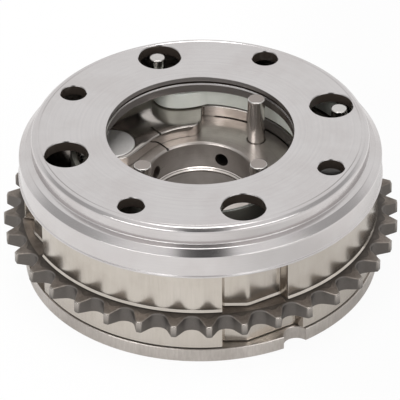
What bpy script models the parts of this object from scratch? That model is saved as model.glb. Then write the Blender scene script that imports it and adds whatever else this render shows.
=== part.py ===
"""Cam phaser of the vane type: drum with chain sprocket, stepped front cover, spiral spring,
vaned rotor with drive pins and a lock pin. Metres, +Z up along the cam axis, origin in the
middle of the rear plate's back face."""

import math

import bmesh
import bpy
from mathutils import Vector

mm = 0.001

# Driving dimensions, in metres and degrees. Radii build up from the bore outwards.

# Gap left between neighbouring pieces, and the running fit of the turning pieces.
gap = 0.3 * mm

# Bore of the hub, its hardened sleeve, and the pocket for the camshaft's nose.
hubBoreRadius = 12.5 * mm
sleeveStep = 0.6 * mm
sleeveWall = 1.8 * mm
noseLedge = 2.0 * mm
nosePocketDepth = 4.0 * mm
sleeveDrop = 6.9 * mm

# Drive pins.
drivePinRadius = 2.15 * mm
drivePinInset = 7.1 * mm
drivePinMargin = 4.7 * mm
drivePinStandOut = 12.1 * mm
drivePinGrip = 9.7 * mm
drivePinAngles = (45.0, 225.0, 315.0)

# Walls from the hub out to the drum's skin.
chamberDepth = 13.7 * mm
seatLand = 1.5 * mm
drumRimWidth = 3.7 * mm
recessDepth = 2.65 * mm
rearPlateOverhang = 0.4 * mm

# Angles that repeat every quarter turn (degrees).
quarters = 4
recessStart = 6.35
recessRamp = 1.1
recessEnd = 27.0
recessStep = 1.2
recessRunOn = 6.0
flatTurn = 30.0
shoeCentre = 16.5
shoeSpan = 21.0

# Chain teeth: as many as it takes to keep the gullets outside the drum.
chainPitch = 8.0 * mm
toothThickness = 3.05 * mm
toothStandOut = 2.53 * mm
gulletDepth = 3.8 * mm
rollerSeatRadius = 2.4 * mm
toothTipWidth = 1.2 * mm
toothShoulder = 1.4 * mm
toothChamfer = 0.25 * mm
toothPhase = 2.0

# Heights of the stack, from the back face upwards.
rearPlateThickness = 3.6 * mm
rearDrumHeight = 6.1 * mm
sprocketHubHeight = 4.1 * mm
frontDrumHeight = 9.7 * mm
frontRimHeight = 0.5 * mm
sealPlateThickness = 2.8 * mm
springRoomHeight = 4.9 * mm
coverWebThickness = 4.6 * mm

# Front cover: the steps down its edge, its groove and its holes.
coverPinRoom = 1.05 * mm
coverOverhang = 0.9 * mm
coverShoulderRun = 1.5 * mm
coverShoulderDrop = 1.45 * mm
coverLedgeRun = 1.6 * mm
coverLedgeDrop = 0.4 * mm
coverEdgeRun = 1.7 * mm
coverEdgeDrop = 0.9 * mm
coverStepDrop = 4.1 * mm
coverLip = 0.35 * mm
grooveDepth = 0.9 * mm
grooveDrop = 1.25 * mm
grooveWidth = 0.6 * mm
largeHoleRadius = 5.3 * mm
largeHoleShift = 2.1 * mm
smallHoleRadius = 3.2 * mm
smallHoleShift = 0.6 * mm
holePhase = 17.2

# Seal plate: the block over the lock pin, and the bush in it.
blockReach = 8.8 * mm
blockStart = 88.5
blockRim = 0.75 * mm
lockShift = 0.9 * mm
lockAngle = 159.5
lockBushRadius = 5.9 * mm
lockPocketDepth = 2.0 * mm

# Rotor vanes. The wide one carries the lock pin and sets how far the rotor turns.
vaneSpan = 14.0
phaseAngle = 30.0
restAngle = 0.7
sealWidth = 1.8 * mm
sealDepth = 2.2 * mm
oilHoleRadius = 1.55 * mm
oilHoleDepth = 4.4 * mm

# Lock pin and its spring.
lockPinRadius = 3.7 * mm
lockPinLength = 11.0 * mm
lockPinWall = 1.1 * mm
lockPinNose = 2.6 * mm
lockFloor = 2.0 * mm
lockWireRadius = 0.35 * mm

# Spiral spring strip and the two posts it hangs on.
stripThickness = 1.3 * mm
springPinRadius = 2.0 * mm
springPinInset = 3.8 * mm
springPinDrop = 1.3 * mm
hookReach = 4.85 * mm
hookDip = 1.45 * mm

# Screws that clamp the stack from behind.
screwRadius = 2.5 * mm
screwHeadRadius = 4.7 * mm
screwHeadBase = 0.35 * mm
screwInset = 5.0 * mm
screwKeyRadius = 1.7 * mm

# Round timing notch in the rear plate's rim, bored from a centre just outside it.
notchRadius = 3.2 * mm
notchOffset = 0.7 * mm
notchAngle = 300.6

# Derived heights.

rearDrumBottom = rearPlateThickness + gap
rearDrumTop = rearDrumBottom + rearDrumHeight
sprocketBottom = rearDrumTop + gap
sprocketTop = sprocketBottom + sprocketHubHeight
toothTaper = (sprocketHubHeight - toothThickness) / 2.0
frontDrumBottom = sprocketTop + gap
frontDrumTop = frontDrumBottom + frontDrumHeight
frontDrumRim = frontDrumTop + frontRimHeight
sealPlateBottom = frontDrumTop + gap
sealPlateTop = sealPlateBottom + sealPlateThickness
coverWebBottom = sealPlateTop + springRoomHeight
coverTop = coverWebBottom + coverWebThickness
coverLedgeTop = coverTop - coverStepDrop
coverRimBottom = frontDrumRim + gap
rotorBottom = rearDrumBottom
rotorTop = frontDrumTop
stripBottom = sealPlateTop + gap
stripTop = coverWebBottom - gap

# Derived radii, from the bore outwards.
sleeveBoreRadius = hubBoreRadius - sleeveStep
sleeveRadius = sleeveBoreRadius + sleeveWall
sleeveSeatRadius = sleeveRadius + gap
sleeveSeatTop = rotorTop - sleeveDrop
nosePocketRadius = sleeveSeatRadius + noseLedge
drivePinCircle = hubBoreRadius + drivePinInset
openingRadius = drivePinCircle + drivePinMargin
hubRadius = openingRadius - gap
chamberRadius = openingRadius + chamberDepth
sealTipRadius = chamberRadius - gap
vaneRadius = sealTipRadius - gap
seatRadius = chamberRadius + seatLand
sealPlateRadius = seatRadius - gap
drumRadius = seatRadius + drumRimWidth
recessRadius = drumRadius - recessDepth
rearPlateRadius = drumRadius + rearPlateOverhang
screwCircle = chamberRadius - screwInset

# The fewest teeth whose gullets clear the drum; the pitch circle follows from them.
leastPitchRadius = drumRadius + toothShoulder + gulletDepth - toothStandOut
toothCount = math.ceil(math.pi / math.asin(chainPitch / 2.0 / leastPitchRadius))
pitchRadius = chainPitch / (2.0 * math.sin(math.pi / toothCount))
tipRadius = pitchRadius + toothStandOut
rootRadius = tipRadius - gulletDepth

# Cover and spring posts.
coverBoreRadius = drivePinCircle + drivePinRadius + coverPinRoom
coverRadius = drumRadius + coverOverhang
coverLedgeRadius = coverRadius - coverShoulderRun
coverStepRadius = coverLedgeRadius - coverLedgeRun
coverFlatRadius = coverStepRadius - coverEdgeRun
springPinCircle = seatRadius - springPinInset
largeHoleCircle = springPinCircle - largeHoleShift
smallHoleCircle = springPinCircle - smallHoleShift

# Lock pin, its bush and the block round it.
lockCircle = openingRadius - lockShift
blockInnerRadius = openingRadius - blockReach
lockBushHoleRadius = lockBushRadius + gap
lockBoreRadius = lockPinRadius + gap
lockBoreBottom = rotorBottom + lockFloor
lockVaneSpan = 90.0 - shoeSpan - phaseAngle - 2.0 * restAngle


def polar(radius, degrees):
    """Point on a circle about the cam axis."""
    angle = math.radians(degrees)
    return (radius * math.cos(angle), radius * math.sin(angle))


def arcPoints(radius, start, end, step=4.0):
    """Points along an arc about the cam axis, both ends included."""
    count = max(1, round(abs(end - start) / step))
    return [polar(radius, start + (end - start) * i / count) for i in range(count + 1)]


def circlePoints(centre, radius, start, end, count):
    """Points along an arc about any centre, both ends included."""
    points = []
    for i in range(count + 1):
        angle = math.radians(start + (end - start) * i / count)
        points.append((centre[0] + radius * math.cos(angle), centre[1] + radius * math.sin(angle)))
    return points


def materialFor(name, colour, roughness, metallic):
    material = bpy.data.materials.new(name)
    material.use_nodes = True
    shader = material.node_tree.nodes["Principled BSDF"]
    shader.inputs["Base Color"].default_value = (*colour, 1.0)
    shader.inputs["Roughness"].default_value = roughness
    shader.inputs["Metallic"].default_value = metallic
    material.diffuse_color = (*colour, 1.0)
    return material


def objectFrom(mesh, name, look, parent=None):
    """Put a bmesh into the scene as a named object with its material."""
    bmesh.ops.recalc_face_normals(mesh, faces=mesh.faces)
    data = bpy.data.meshes.new(name)
    mesh.to_mesh(data)
    mesh.free()
    item = bpy.data.objects.new(name, data)
    bpy.context.scene.collection.objects.link(item)
    data.materials.append(materialFor(name, *look))
    for polygon in data.polygons:
        polygon.use_smooth = True
    data.set_sharp_from_angle(angle=math.radians(30.0))
    if parent is not None:
        item.parent = parent
    return item


def addSpin(mesh, profile, segments, centre=(0.0, 0.0)):
    """Turn a closed (radius, height) profile round a vertical axis; zero radii close up."""
    rings = []
    for radius, height in profile:
        if radius < 1e-9:
            rings.append([mesh.verts.new((centre[0], centre[1], height))])
            continue
        ring = []
        for i in range(segments):
            angle = 2.0 * math.pi * i / segments
            ring.append(mesh.verts.new((
                centre[0] + radius * math.cos(angle),
                centre[1] + radius * math.sin(angle),
                height,
            )))
        rings.append(ring)
    for lower, upper in zip(rings, rings[1:] + rings[:1]):
        if len(lower) == 1 and len(upper) == 1:
            continue
        for i in range(segments):
            j = (i + 1) % segments
            corners = [lower[i % len(lower)], lower[j % len(lower)]]
            corners += [upper[j % len(upper)], upper[i % len(upper)]]
            unique = list(dict.fromkeys(corners))
            mesh.faces.new(unique)


def addPrism(mesh, outline, bottom, top):
    """Extrude a closed outline from one height to another."""
    lower = [mesh.verts.new((x, y, bottom)) for x, y in outline]
    upper = [mesh.verts.new((x, y, top)) for x, y in outline]
    mesh.faces.new(list(reversed(lower)))
    mesh.faces.new(upper)
    count = len(outline)
    for i in range(count):
        j = (i + 1) % count
        mesh.faces.new((lower[i], lower[j], upper[j], upper[i]))


def addLoft(mesh, layers):
    """Skin loops of equal length and cap the first and last, which lie flat."""
    loops = [[mesh.verts.new(point) for point in points] for points in layers]
    count = len(loops[0])
    for lower, upper in zip(loops, loops[1:]):
        for i in range(count):
            j = (i + 1) % count
            mesh.faces.new((lower[i], lower[j], upper[j], upper[i]))
    mesh.faces.new(list(reversed(loops[0])))
    mesh.faces.new(loops[-1])


def addRod(mesh, start, end, radius, segments):
    """Straight round bar between two points in space."""
    start = Vector(start)
    end = Vector(end)
    along = (end - start).normalized()
    side = along.cross(Vector((0.0, 0.0, 1.0))).normalized()
    other = along.cross(side)
    rings = []
    for point in (start, end):
        ring = []
        for i in range(segments):
            angle = 2.0 * math.pi * i / segments
            ring.append(mesh.verts.new(point + radius * (side * math.cos(angle) + other * math.sin(angle))))
        rings.append(ring)
    mesh.faces.new(rings[0])
    mesh.faces.new(list(reversed(rings[1])))
    for i in range(segments):
        j = (i + 1) % segments
        mesh.faces.new((rings[0][i], rings[1][i], rings[1][j], rings[0][j]))


def cut(item, tool):
    """Take a closed tool body out of an item with an exact Boolean."""
    bmesh.ops.recalc_face_normals(tool, faces=tool.faces)
    data = bpy.data.meshes.new(item.name + "_tool")
    tool.to_mesh(data)
    tool.free()
    cutter = bpy.data.objects.new(item.name + "_tool", data)
    bpy.context.scene.collection.objects.link(cutter)
    cutter.hide_render = True
    cutter.display_type = "WIRE"
    modifier = item.modifiers.new("Cut", "BOOLEAN")
    modifier.operation = "DIFFERENCE"
    modifier.solver = "EXACT"
    modifier.object = cutter


# Looks: colour, roughness, metallic.

turnedSteel = ((0.60, 0.58, 0.57), 0.30, 1.0)
polishedDrum = ((0.56, 0.51, 0.45), 0.16, 1.0)
darkSinter = ((0.11, 0.10, 0.09), 0.50, 0.9)
groundSteel = ((0.42, 0.40, 0.38), 0.22, 1.0)
hubSteel = ((0.30, 0.27, 0.26), 0.32, 1.0)
pinSteel = ((0.47, 0.42, 0.39), 0.24, 1.0)
springSteel = ((0.62, 0.65, 0.60), 0.18, 1.0)
screwSteel = ((0.07, 0.07, 0.07), 0.45, 1.0)
sealPlastic = ((0.05, 0.04, 0.035), 0.55, 0.0)


# Start from an empty scene.

for old in list(bpy.data.objects):
    bpy.data.objects.remove(old, do_unlink=True)

# The rotor turns about the cam axis; everything on it hangs from this empty.
rotorAxis = bpy.data.objects.new("rotor_axis", None)
bpy.context.scene.collection.objects.link(rotorAxis)


# Outlines shared by the drum pieces.

def drumOutline(runOn=0.0):
    """Outside of the drum: a circle with a panel of two flats over each shoe. The last panel can
    run on further than the others."""
    points = []
    for k in range(quarters):
        quarter = 90.0 * k
        end = recessEnd
        if k == quarters - 1:
            end += runOn
        points += [polar(drumRadius, quarter + recessStart)]
        # Along the first flat, round the bend and along the second one.
        for angle, flat in ((recessStart + recessRamp, 0.0), (flatTurn / 2.0 - 1.0, 0.0),
                            (flatTurn / 2.0 + 1.0, flatTurn), (end, flatTurn)):
            radius = recessRadius / math.cos(math.radians(angle - flat))
            points += [polar(radius, quarter + angle)]
        points += arcPoints(drumRadius, quarter + end + recessStep, quarter + recessStart + 90.0, 4.3)[:-1]
    return points


def chamberOutline():
    """Inside of the drum: four oil chambers parted by shoes that reach the rotor hub."""
    points = []
    for k in range(quarters):
        centre = 90.0 * k + shoeCentre
        points += arcPoints(openingRadius, centre - shoeSpan / 2.0, centre + shoeSpan / 2.0, 5.0)
        chamberStart = centre + shoeSpan / 2.0
        chamberEnd = centre + 90.0 - shoeSpan / 2.0
        points += arcPoints(chamberRadius, chamberStart, chamberEnd, 5.0)
    return points


def addScrewHoles(mesh, bottom, top):
    """Clearance holes for the clamping screws, one through each shoe."""
    for k in range(quarters):
        centre = polar(screwCircle, 90.0 * k + shoeCentre)
        addSpin(mesh, [(0.0, bottom), (screwRadius + gap, bottom), (screwRadius + gap, top), (0.0, top)],
                14, centre)


# Rear plate: closes the drum behind, notched at its rim.

mesh = bmesh.new()
edge = 0.2 * mm
addSpin(mesh, [
    (nosePocketRadius + 1.0 * mm, 0.0),
    (rearPlateRadius - edge, 0.0),
    (rearPlateRadius, edge),
    (rearPlateRadius, rearPlateThickness - edge),
    (rearPlateRadius - edge, rearPlateThickness),
    (nosePocketRadius + 1.0 * mm, rearPlateThickness),
], 76)
rearPlate = objectFrom(mesh, "rear_plate", turnedSteel)

tool = bmesh.new()
screwHeadHeight = screwHeadRadius - screwRadius
sinkGap = gap * math.sqrt(2.0)
for k in range(quarters):
    addSpin(tool, [
        (0.0, -1.0 * mm),
        (screwHeadRadius + screwHeadBase + sinkGap + 1.0 * mm, -1.0 * mm),
        (screwRadius + gap, screwHeadBase + screwHeadHeight + sinkGap - gap),
        (screwRadius + gap, rearPlateThickness + 1.0 * mm),
        (0.0, rearPlateThickness + 1.0 * mm),
    ], 20, polar(screwCircle, 90.0 * k + shoeCentre))
notchTop = rearPlateThickness + 1.0 * mm
addSpin(tool, [(0.0, -1.0 * mm), (notchRadius, -1.0 * mm), (notchRadius, notchTop), (0.0, notchTop)],
        28, polar(rearPlateRadius + notchOffset, notchAngle))
cut(rearPlate, tool)


# Rear half of the drum. Its panel at the timing notch runs on past the notch.

mesh = bmesh.new()
addPrism(mesh, drumOutline(recessRunOn), rearDrumBottom, rearDrumTop)
rearDrum = objectFrom(mesh, "rear_drum", polishedDrum)
tool = bmesh.new()
addPrism(tool, chamberOutline(), rearDrumBottom - 1.0 * mm, rearDrumTop + 1.0 * mm)
addScrewHoles(tool, rearDrumBottom - 1.0 * mm, rearDrumTop + 1.0 * mm)
cut(rearDrum, tool)


# Chain sprocket: plate clamped between the drum halves, its teeth thinned towards their tips.

def toothLoop(inset):
    """Outline of the teeth: narrow tips and straight flanks that run into round chain seats."""
    points = []
    pitch = 360.0 / toothCount
    tipReach = tipRadius - inset
    halfTip = math.degrees((toothTipWidth / 2.0 - 0.4 * inset) / tipRadius)
    seat = rollerSeatRadius + 0.4 * inset
    seatCircle = rootRadius + rollerSeatRadius
    # The tip's corner seen from the seat's centre, and the angle where its flank meets the seat.
    across = tipReach * math.sin(math.radians(pitch / 2.0 - halfTip))
    above = tipReach * math.cos(math.radians(pitch / 2.0 - halfTip)) - seatCircle
    meet = math.degrees(math.acos(seat / math.hypot(across, above)) - math.atan2(above, across))
    for k in range(toothCount):
        tip = toothPhase + pitch * k
        points.append(polar(tipReach, tip - halfTip))
        points.append(polar(tipReach, tip + halfTip))
        middle = tip + pitch / 2.0
        centre = polar(seatCircle, middle)
        points += circlePoints(centre, seat, middle - 90.0 - meet, middle - 270.0 + meet, 4)
    return points


def ringLoop(radius, model, height):
    """Level circle with one point at the angle of each point of another loop."""
    return [(*polar(radius, math.degrees(math.atan2(y, x))), height) for x, y in model]


def slopedLoop(points, rootHeight, tipHeight):
    """Give the teeth's outline heights that run evenly from the gullets' floor to the tips."""
    loop = []
    for x, y in points:
        share = min(max((math.hypot(x, y) - rootRadius) / gulletDepth, 0.0), 1.0)
        loop.append((x, y, rootHeight + (tipHeight - rootHeight) * share))
    return loop


full = toothLoop(0.0)
small = toothLoop(toothChamfer)
shoulderRadius = rootRadius - toothShoulder / 2.0
toothLow = sprocketBottom + toothTaper
toothHigh = sprocketTop - toothTaper
mesh = bmesh.new()
addLoft(mesh, [
    ringLoop(shoulderRadius, small, sprocketBottom),
    slopedLoop(small, sprocketBottom, toothLow),
    slopedLoop(full, sprocketBottom + toothChamfer, toothLow + toothChamfer),
    slopedLoop(full, sprocketTop - toothChamfer, toothHigh - toothChamfer),
    slopedLoop(small, sprocketTop, toothHigh),
    ringLoop(shoulderRadius, small, sprocketTop),
])
sprocket = objectFrom(mesh, "sprocket", darkSinter)
tool = bmesh.new()
addPrism(tool, chamberOutline(), sprocketBottom - 1.0 * mm, sprocketTop + 1.0 * mm)
addScrewHoles(tool, sprocketBottom - 1.0 * mm, sprocketTop + 1.0 * mm)
cut(sprocket, tool)


# Front half of the drum, with a low rim round the seal plate's seat.

mesh = bmesh.new()
addPrism(mesh, drumOutline(), frontDrumBottom, frontDrumRim)
frontDrum = objectFrom(mesh, "front_drum", polishedDrum)
tool = bmesh.new()
addPrism(tool, chamberOutline(), frontDrumBottom - 1.0 * mm, frontDrumRim + 1.0 * mm)
addScrewHoles(tool, frontDrumBottom - 1.0 * mm, frontDrumTop - 1.5 * mm)
cut(frontDrum, tool)
tool = bmesh.new()
seatTop = frontDrumRim + 1.0 * mm
addSpin(tool, [(0.0, frontDrumTop), (seatRadius, frontDrumTop), (seatRadius, seatTop), (0.0, seatTop)], 72)
cut(frontDrum, tool)


# Seal plate: covers the chambers, open round the hub, with a block over the lock pin.

def openingOutline():
    """Keyhole opening: a wide arc clear of the drive pins and a block that reaches inwards."""
    lockX, lockY = polar(lockCircle, lockAngle)
    rimRadius = lockBushHoleRadius + blockRim
    # Where the rounding round the lock bush meets the wide arc.
    reach = (openingRadius ** 2 + lockCircle ** 2 - rimRadius ** 2) / (2.0 * openingRadius * lockCircle)
    meet = lockAngle + math.degrees(math.acos(reach))
    points = arcPoints(openingRadius, meet, 360.0 + blockStart - 1.5, 4.5)
    meetX, meetY = points[0]
    # End wall of the block with rounded corners, then the inner arc.
    points += [polar(openingRadius - 0.035 * blockReach, blockStart - 0.5)]
    points += [polar(openingRadius - 0.15 * blockReach, blockStart)]
    points += [polar(blockInnerRadius + 0.27 * blockReach, blockStart + 0.4)]
    points += [polar(blockInnerRadius + 0.135 * blockReach, blockStart + 2.2)]
    points += [polar(blockInnerRadius + 0.045 * blockReach, blockStart + 5.2)]
    points += arcPoints(blockInnerRadius, blockStart + 9.0, 140.0, 5.0)
    startAngle = math.degrees(math.atan2(meetY - lockY, meetX - lockX))
    inward = lockAngle - 180.0
    points += circlePoints((lockX, lockY), rimRadius, inward - 20.0, startAngle, 8)[:-1]
    return points


mesh = bmesh.new()
edge = 0.3 * mm
addSpin(mesh, [
    (0.0, sealPlateBottom),
    (sealPlateRadius, sealPlateBottom),
    (sealPlateRadius, sealPlateTop - edge),
    (sealPlateRadius - edge, sealPlateTop),
    (0.0, sealPlateTop),
], 72)
sealPlate = objectFrom(mesh, "seal_plate", groundSteel)
tool = bmesh.new()
addPrism(tool, openingOutline(), sealPlateBottom - 1.0 * mm, sealPlateTop + 1.0 * mm)
low = sealPlateBottom - 1.0 * mm
high = sealPlateTop + 1.0 * mm
addSpin(tool, [(0.0, low), (lockBushHoleRadius, low), (lockBushHoleRadius, high), (0.0, high)],
        28, polar(lockCircle, lockAngle))
for k in range(2):
    addSpin(tool, [(0.0, low), (springPinRadius + gap, low), (springPinRadius + gap, high), (0.0, high)],
            16, polar(springPinCircle, holePhase + 90.0 * k))
cut(sealPlate, tool)


# Lock bush: cup in the block whose pocket takes the lock pin's nose.

mesh = bmesh.new()
pocketRadius = lockPinRadius + gap
addSpin(mesh, [
    (0.0, sealPlateBottom + lockPocketDepth),
    (pocketRadius, sealPlateBottom + lockPocketDepth),
    (pocketRadius, sealPlateBottom),
    (lockBushRadius, sealPlateBottom),
    (lockBushRadius, sealPlateTop - 0.1 * mm),
    (lockBushRadius - 0.3 * mm, sealPlateTop + 0.1 * mm),
    (lockBushRadius - 2.2 * mm, sealPlateTop + 0.2 * mm),
    (0.0, sealPlateTop + 0.25 * mm),
], 36, polar(lockCircle, lockAngle))
objectFrom(mesh, "lock_bush", pinSteel)


# Spring pins: two posts for the spiral spring, seen through the cover's holes.

springPinTop = coverTop - springPinDrop
for k in range(2):
    mesh = bmesh.new()
    edge = 0.3 * mm
    addSpin(mesh, [
        (0.0, frontDrumTop + gap),
        (springPinRadius, frontDrumTop + gap),
        (springPinRadius, springPinTop - edge),
        (springPinRadius - edge, springPinTop),
        (0.0, springPinTop),
    ], 20, polar(springPinCircle, holePhase + 90.0 * k))
    objectFrom(mesh, "spring_pin_" + str(k + 1), pinSteel)


# Spiral spring: flat strip on edge, hooked at both ends.

def springCentreLine():
    """Middle of the strip seen from above, from the inner hook clockwise to the outer one."""
    line = []
    half = stripThickness / 2.0
    innerTurn = openingRadius + half
    # The coil passes inside the second post and ends outside the first.
    passTurn = springPinCircle - springPinRadius - gap - half
    outerTurn = springPinCircle + springPinRadius + gap / 2.0 + half
    # Inner hook: comes in along a radius, dips and bends into the first turn.
    for share, angle in ((1.0, 112.6), (0.67, 112.5), (0.38, 112.0), (0.134, 110.6)):
        line.append(polar(innerTurn + hookReach * share, angle))
    for share, angle in ((0.24, 108.2), (0.72, 105.0), (1.0, 101.0), (1.0, 96.5), (0.72, 91.5), (0.0, 86.0)):
        line.append(polar(innerTurn - hookDip * share, angle))
    # Each station: the angle wound back from the hook, and the radius there.
    stations = [(86.0, innerTurn)]
    for angle, share in ((60.0, 0.0), (10.0, 0.07), (-72.0, 0.315), (-150.0, 0.6), (-185.0, 0.8),
                         (-215.0, 0.93), (-252.8, 1.0)):
        stations.append((angle, innerTurn + (passTurn - innerTurn) * share))
    for angle, share in ((-290.0, 0.25), (-318.0, 0.67), (-330.0, 0.9), (-338.0, 1.0), (-347.0, 1.0)):
        stations.append((angle, passTurn + (outerTurn - passTurn) * share))
    for (startAngle, startRadius), (endAngle, endRadius) in zip(stations, stations[1:]):
        count = max(1, round((startAngle - endAngle) / 7.0))
        for i in range(1, count + 1):
            share = i / count
            ease = share * share * (3.0 - 2.0 * share) * 0.3 + share * 0.7
            radius = startRadius + (endRadius - startRadius) * ease
            line.append(polar(radius, startAngle + (endAngle - startAngle) * share))
    # Outer hook closes round the spring pin on its far side.
    line += [polar(outerTurn - 0.3 * springPinRadius, -349.6)]
    line += [polar(outerTurn - 0.8 * springPinRadius, -350.6)]
    return line


def stripOutline(line, width):
    """Thicken an open line into a closed outline of constant width."""
    left = []
    right = []
    for i, point in enumerate(line):
        before = line[max(i - 1, 0)]
        after = line[min(i + 1, len(line) - 1)]
        along = Vector((after[0] - before[0], after[1] - before[1])).normalized()
        side = Vector((-along.y, along.x)) * (width / 2.0)
        left.append((point[0] + side.x, point[1] + side.y))
        right.append((point[0] - side.x, point[1] - side.y))
    return left, right


mesh = bmesh.new()
left, right = stripOutline(springCentreLine(), stripThickness)
columns = []
for (leftX, leftY), (rightX, rightY) in zip(left, right):
    columns.append([
        mesh.verts.new((leftX, leftY, stripBottom)),
        mesh.verts.new((rightX, rightY, stripBottom)),
        mesh.verts.new((rightX, rightY, stripTop)),
        mesh.verts.new((leftX, leftY, stripTop)),
    ])
for near, far in zip(columns, columns[1:]):
    for i in range(4):
        j = (i + 1) % 4
        mesh.faces.new((near[i], near[j], far[j], far[i]))
mesh.faces.new(columns[0])
mesh.faces.new(list(reversed(columns[-1])))
objectFrom(mesh, "spiral_spring", springSteel)


# Front cover: stepped cap over the spring.

mesh = bmesh.new()
grooveTop = coverTop - grooveDrop
grooveBottom = grooveTop - grooveWidth
addSpin(mesh, [
    (coverBoreRadius, coverWebBottom + coverLip),
    (coverBoreRadius, grooveBottom),
    (coverBoreRadius + grooveDepth, grooveBottom),
    (coverBoreRadius + grooveDepth, grooveTop),
    (coverBoreRadius, grooveTop),
    (coverBoreRadius, coverTop - coverLip),
    (coverBoreRadius + coverLip, coverTop),
    (coverFlatRadius, coverTop),
    (coverStepRadius - 0.3 * coverEdgeRun, coverTop - 0.15 * coverEdgeDrop),
    (coverStepRadius - 0.08 * coverEdgeRun, coverTop - 0.45 * coverEdgeDrop),
    (coverStepRadius, coverTop - coverEdgeDrop),
    (coverStepRadius, coverLedgeTop + 0.3 * mm),
    (coverStepRadius + 0.3 * mm, coverLedgeTop),
    (coverLedgeRadius, coverLedgeTop - coverLedgeDrop),
    (coverRadius, coverLedgeTop - coverLedgeDrop - coverShoulderDrop),
    (coverRadius, coverRimBottom + 0.4 * mm),
    (coverRadius - 0.4 * mm, coverRimBottom),
    (seatRadius, coverRimBottom),
    (seatRadius, coverWebBottom),
    (coverBoreRadius + coverLip, coverWebBottom),
], 76)
frontCover = objectFrom(mesh, "front_cover", turnedSteel)
tool = bmesh.new()
low = coverWebBottom - 1.0 * mm
edge = 0.3 * mm


def holeProfile(radius):
    """Straight hole whose mouth is broken by a small chamfer."""
    return [
        (0.0, low),
        (radius, low),
        (radius, coverTop - edge),
        (radius + edge + 1.0 * mm, coverTop + 1.0 * mm),
        (0.0, coverTop + 1.0 * mm),
    ]


for k in range(quarters):
    addSpin(tool, holeProfile(largeHoleRadius), 32, polar(largeHoleCircle, holePhase + 90.0 * k))
    addSpin(tool, holeProfile(smallHoleRadius), 24, polar(smallHoleCircle, holePhase + 45.0 + 90.0 * k))
cut(frontCover, tool)


# Clamping screws: countersunk, set in from behind through the shoes.

for k in range(quarters):
    mesh = bmesh.new()
    addSpin(mesh, [
        (0.0, screwHeadBase),
        (screwHeadRadius, screwHeadBase),
        (screwRadius, screwHeadBase + screwHeadHeight),
        (screwRadius, frontDrumTop - 2.3 * mm),
        (screwRadius - 0.5 * mm, frontDrumTop - 1.9 * mm),
        (0.0, frontDrumTop - 1.9 * mm),
    ], 14, polar(screwCircle, 90.0 * k + shoeCentre))
    screw = objectFrom(mesh, "clamp_screw_" + str(k + 1), screwSteel)
    tool = bmesh.new()
    keyCentre = polar(screwCircle, 90.0 * k + shoeCentre)
    addPrism(tool, circlePoints(keyCentre, screwKeyRadius, 0.0, 300.0, 5), -1.0 * mm, 1.5 * mm)
    cut(screw, tool)


# Rotor: hub with three narrow vanes and one wide vane for the lock pin.

# Each vane ends just short of the shoe it rests beside.
vaneEnds = [90.0 * k + shoeCentre - shoeSpan / 2.0 - restAngle for k in range(1, quarters + 1)]
vaneSpans = [vaneSpan, lockVaneSpan, vaneSpan, vaneSpan]
vaneMiddles = [end - span / 2.0 for end, span in zip(vaneEnds, vaneSpans)]


def rotorOutline():
    """Hub and vanes seen from above, with a slot for the seal in each vane's tip."""
    points = []
    slotHalf = sealWidth / 2.0 + gap
    slotFloor = vaneRadius - sealDepth
    for index in range(quarters):
        end = vaneEnds[index]
        start = end - vaneSpans[index]
        middle = vaneMiddles[index]
        tipHalf = math.degrees(math.asin(slotHalf / vaneRadius))
        floorHalf = math.degrees(math.asin(slotHalf / slotFloor))
        points += [polar(hubRadius, start), polar(vaneRadius, start)]
        points += arcPoints(vaneRadius, start, middle - tipHalf, 6.0)[1:]
        points += [polar(slotFloor, middle - floorHalf), polar(slotFloor, middle + floorHalf)]
        points += arcPoints(vaneRadius, middle + tipHalf, end, 6.0)
        nextStart = vaneEnds[(index + 1) % quarters] - vaneSpans[(index + 1) % quarters]
        while nextStart < end:
            nextStart += 360.0
        points += arcPoints(hubRadius, end, nextStart, 6.0)[:-1]
    return points


mesh = bmesh.new()
addPrism(mesh, rotorOutline(), rotorBottom, rotorTop)
rotor = objectFrom(mesh, "rotor", hubSteel, rotorAxis)

tool = bmesh.new()
lead = 0.5 * mm
addSpin(tool, [
    (0.0, rotorBottom - 1.0 * mm),
    (nosePocketRadius, rotorBottom - 1.0 * mm),
    (nosePocketRadius, rotorBottom + nosePocketDepth),
    (sleeveSeatRadius, rotorBottom + nosePocketDepth),
    (sleeveSeatRadius, sleeveSeatTop),
    (hubBoreRadius, sleeveSeatTop),
    (hubBoreRadius, rotorTop - lead),
    (hubBoreRadius + lead + 1.0 * mm, rotorTop + 1.0 * mm),
    (0.0, rotorTop + 1.0 * mm),
], 56)
cut(rotor, tool)

tool = bmesh.new()
for angle in drivePinAngles:
    sink = 0.45 * mm
    holeRadius = drivePinRadius + gap
    addSpin(tool, [
        (0.0, rotorTop - drivePinGrip - gap),
        (holeRadius, rotorTop - drivePinGrip - gap),
        (holeRadius, rotorTop - sink),
        (holeRadius + sink + 1.0 * mm, rotorTop + 1.0 * mm),
        (0.0, rotorTop + 1.0 * mm),
    ], 20, polar(drivePinCircle, angle))
addSpin(tool, [
    (0.0, rotorBottom - 1.0 * mm),
    (1.2 * mm, rotorBottom - 1.0 * mm),
    (1.2 * mm, lockBoreBottom),
    (lockBoreRadius, lockBoreBottom),
    (lockBoreRadius, rotorTop + 1.0 * mm),
    (0.0, rotorTop + 1.0 * mm),
], 24, polar(lockCircle, lockAngle))
cut(rotor, tool)

tool = bmesh.new()
oilHeight = rotorTop - oilHoleDepth
oilHoles = ((65.0, hubRadius + 1.0 * mm), (151.0, hubBoreRadius + 5.1 * mm), (245.0, hubRadius + 1.0 * mm),
            (331.0, hubRadius + 1.0 * mm))
for angle, reach in oilHoles:
    inner = polar(hubBoreRadius - 1.5 * mm, angle)
    outer = polar(reach, angle)
    addRod(tool, (*inner, oilHeight), (*outer, oilHeight), oilHoleRadius, 14)
cut(rotor, tool)


# Bore sleeve: hardened liner below the step in the hub's bore.

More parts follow.
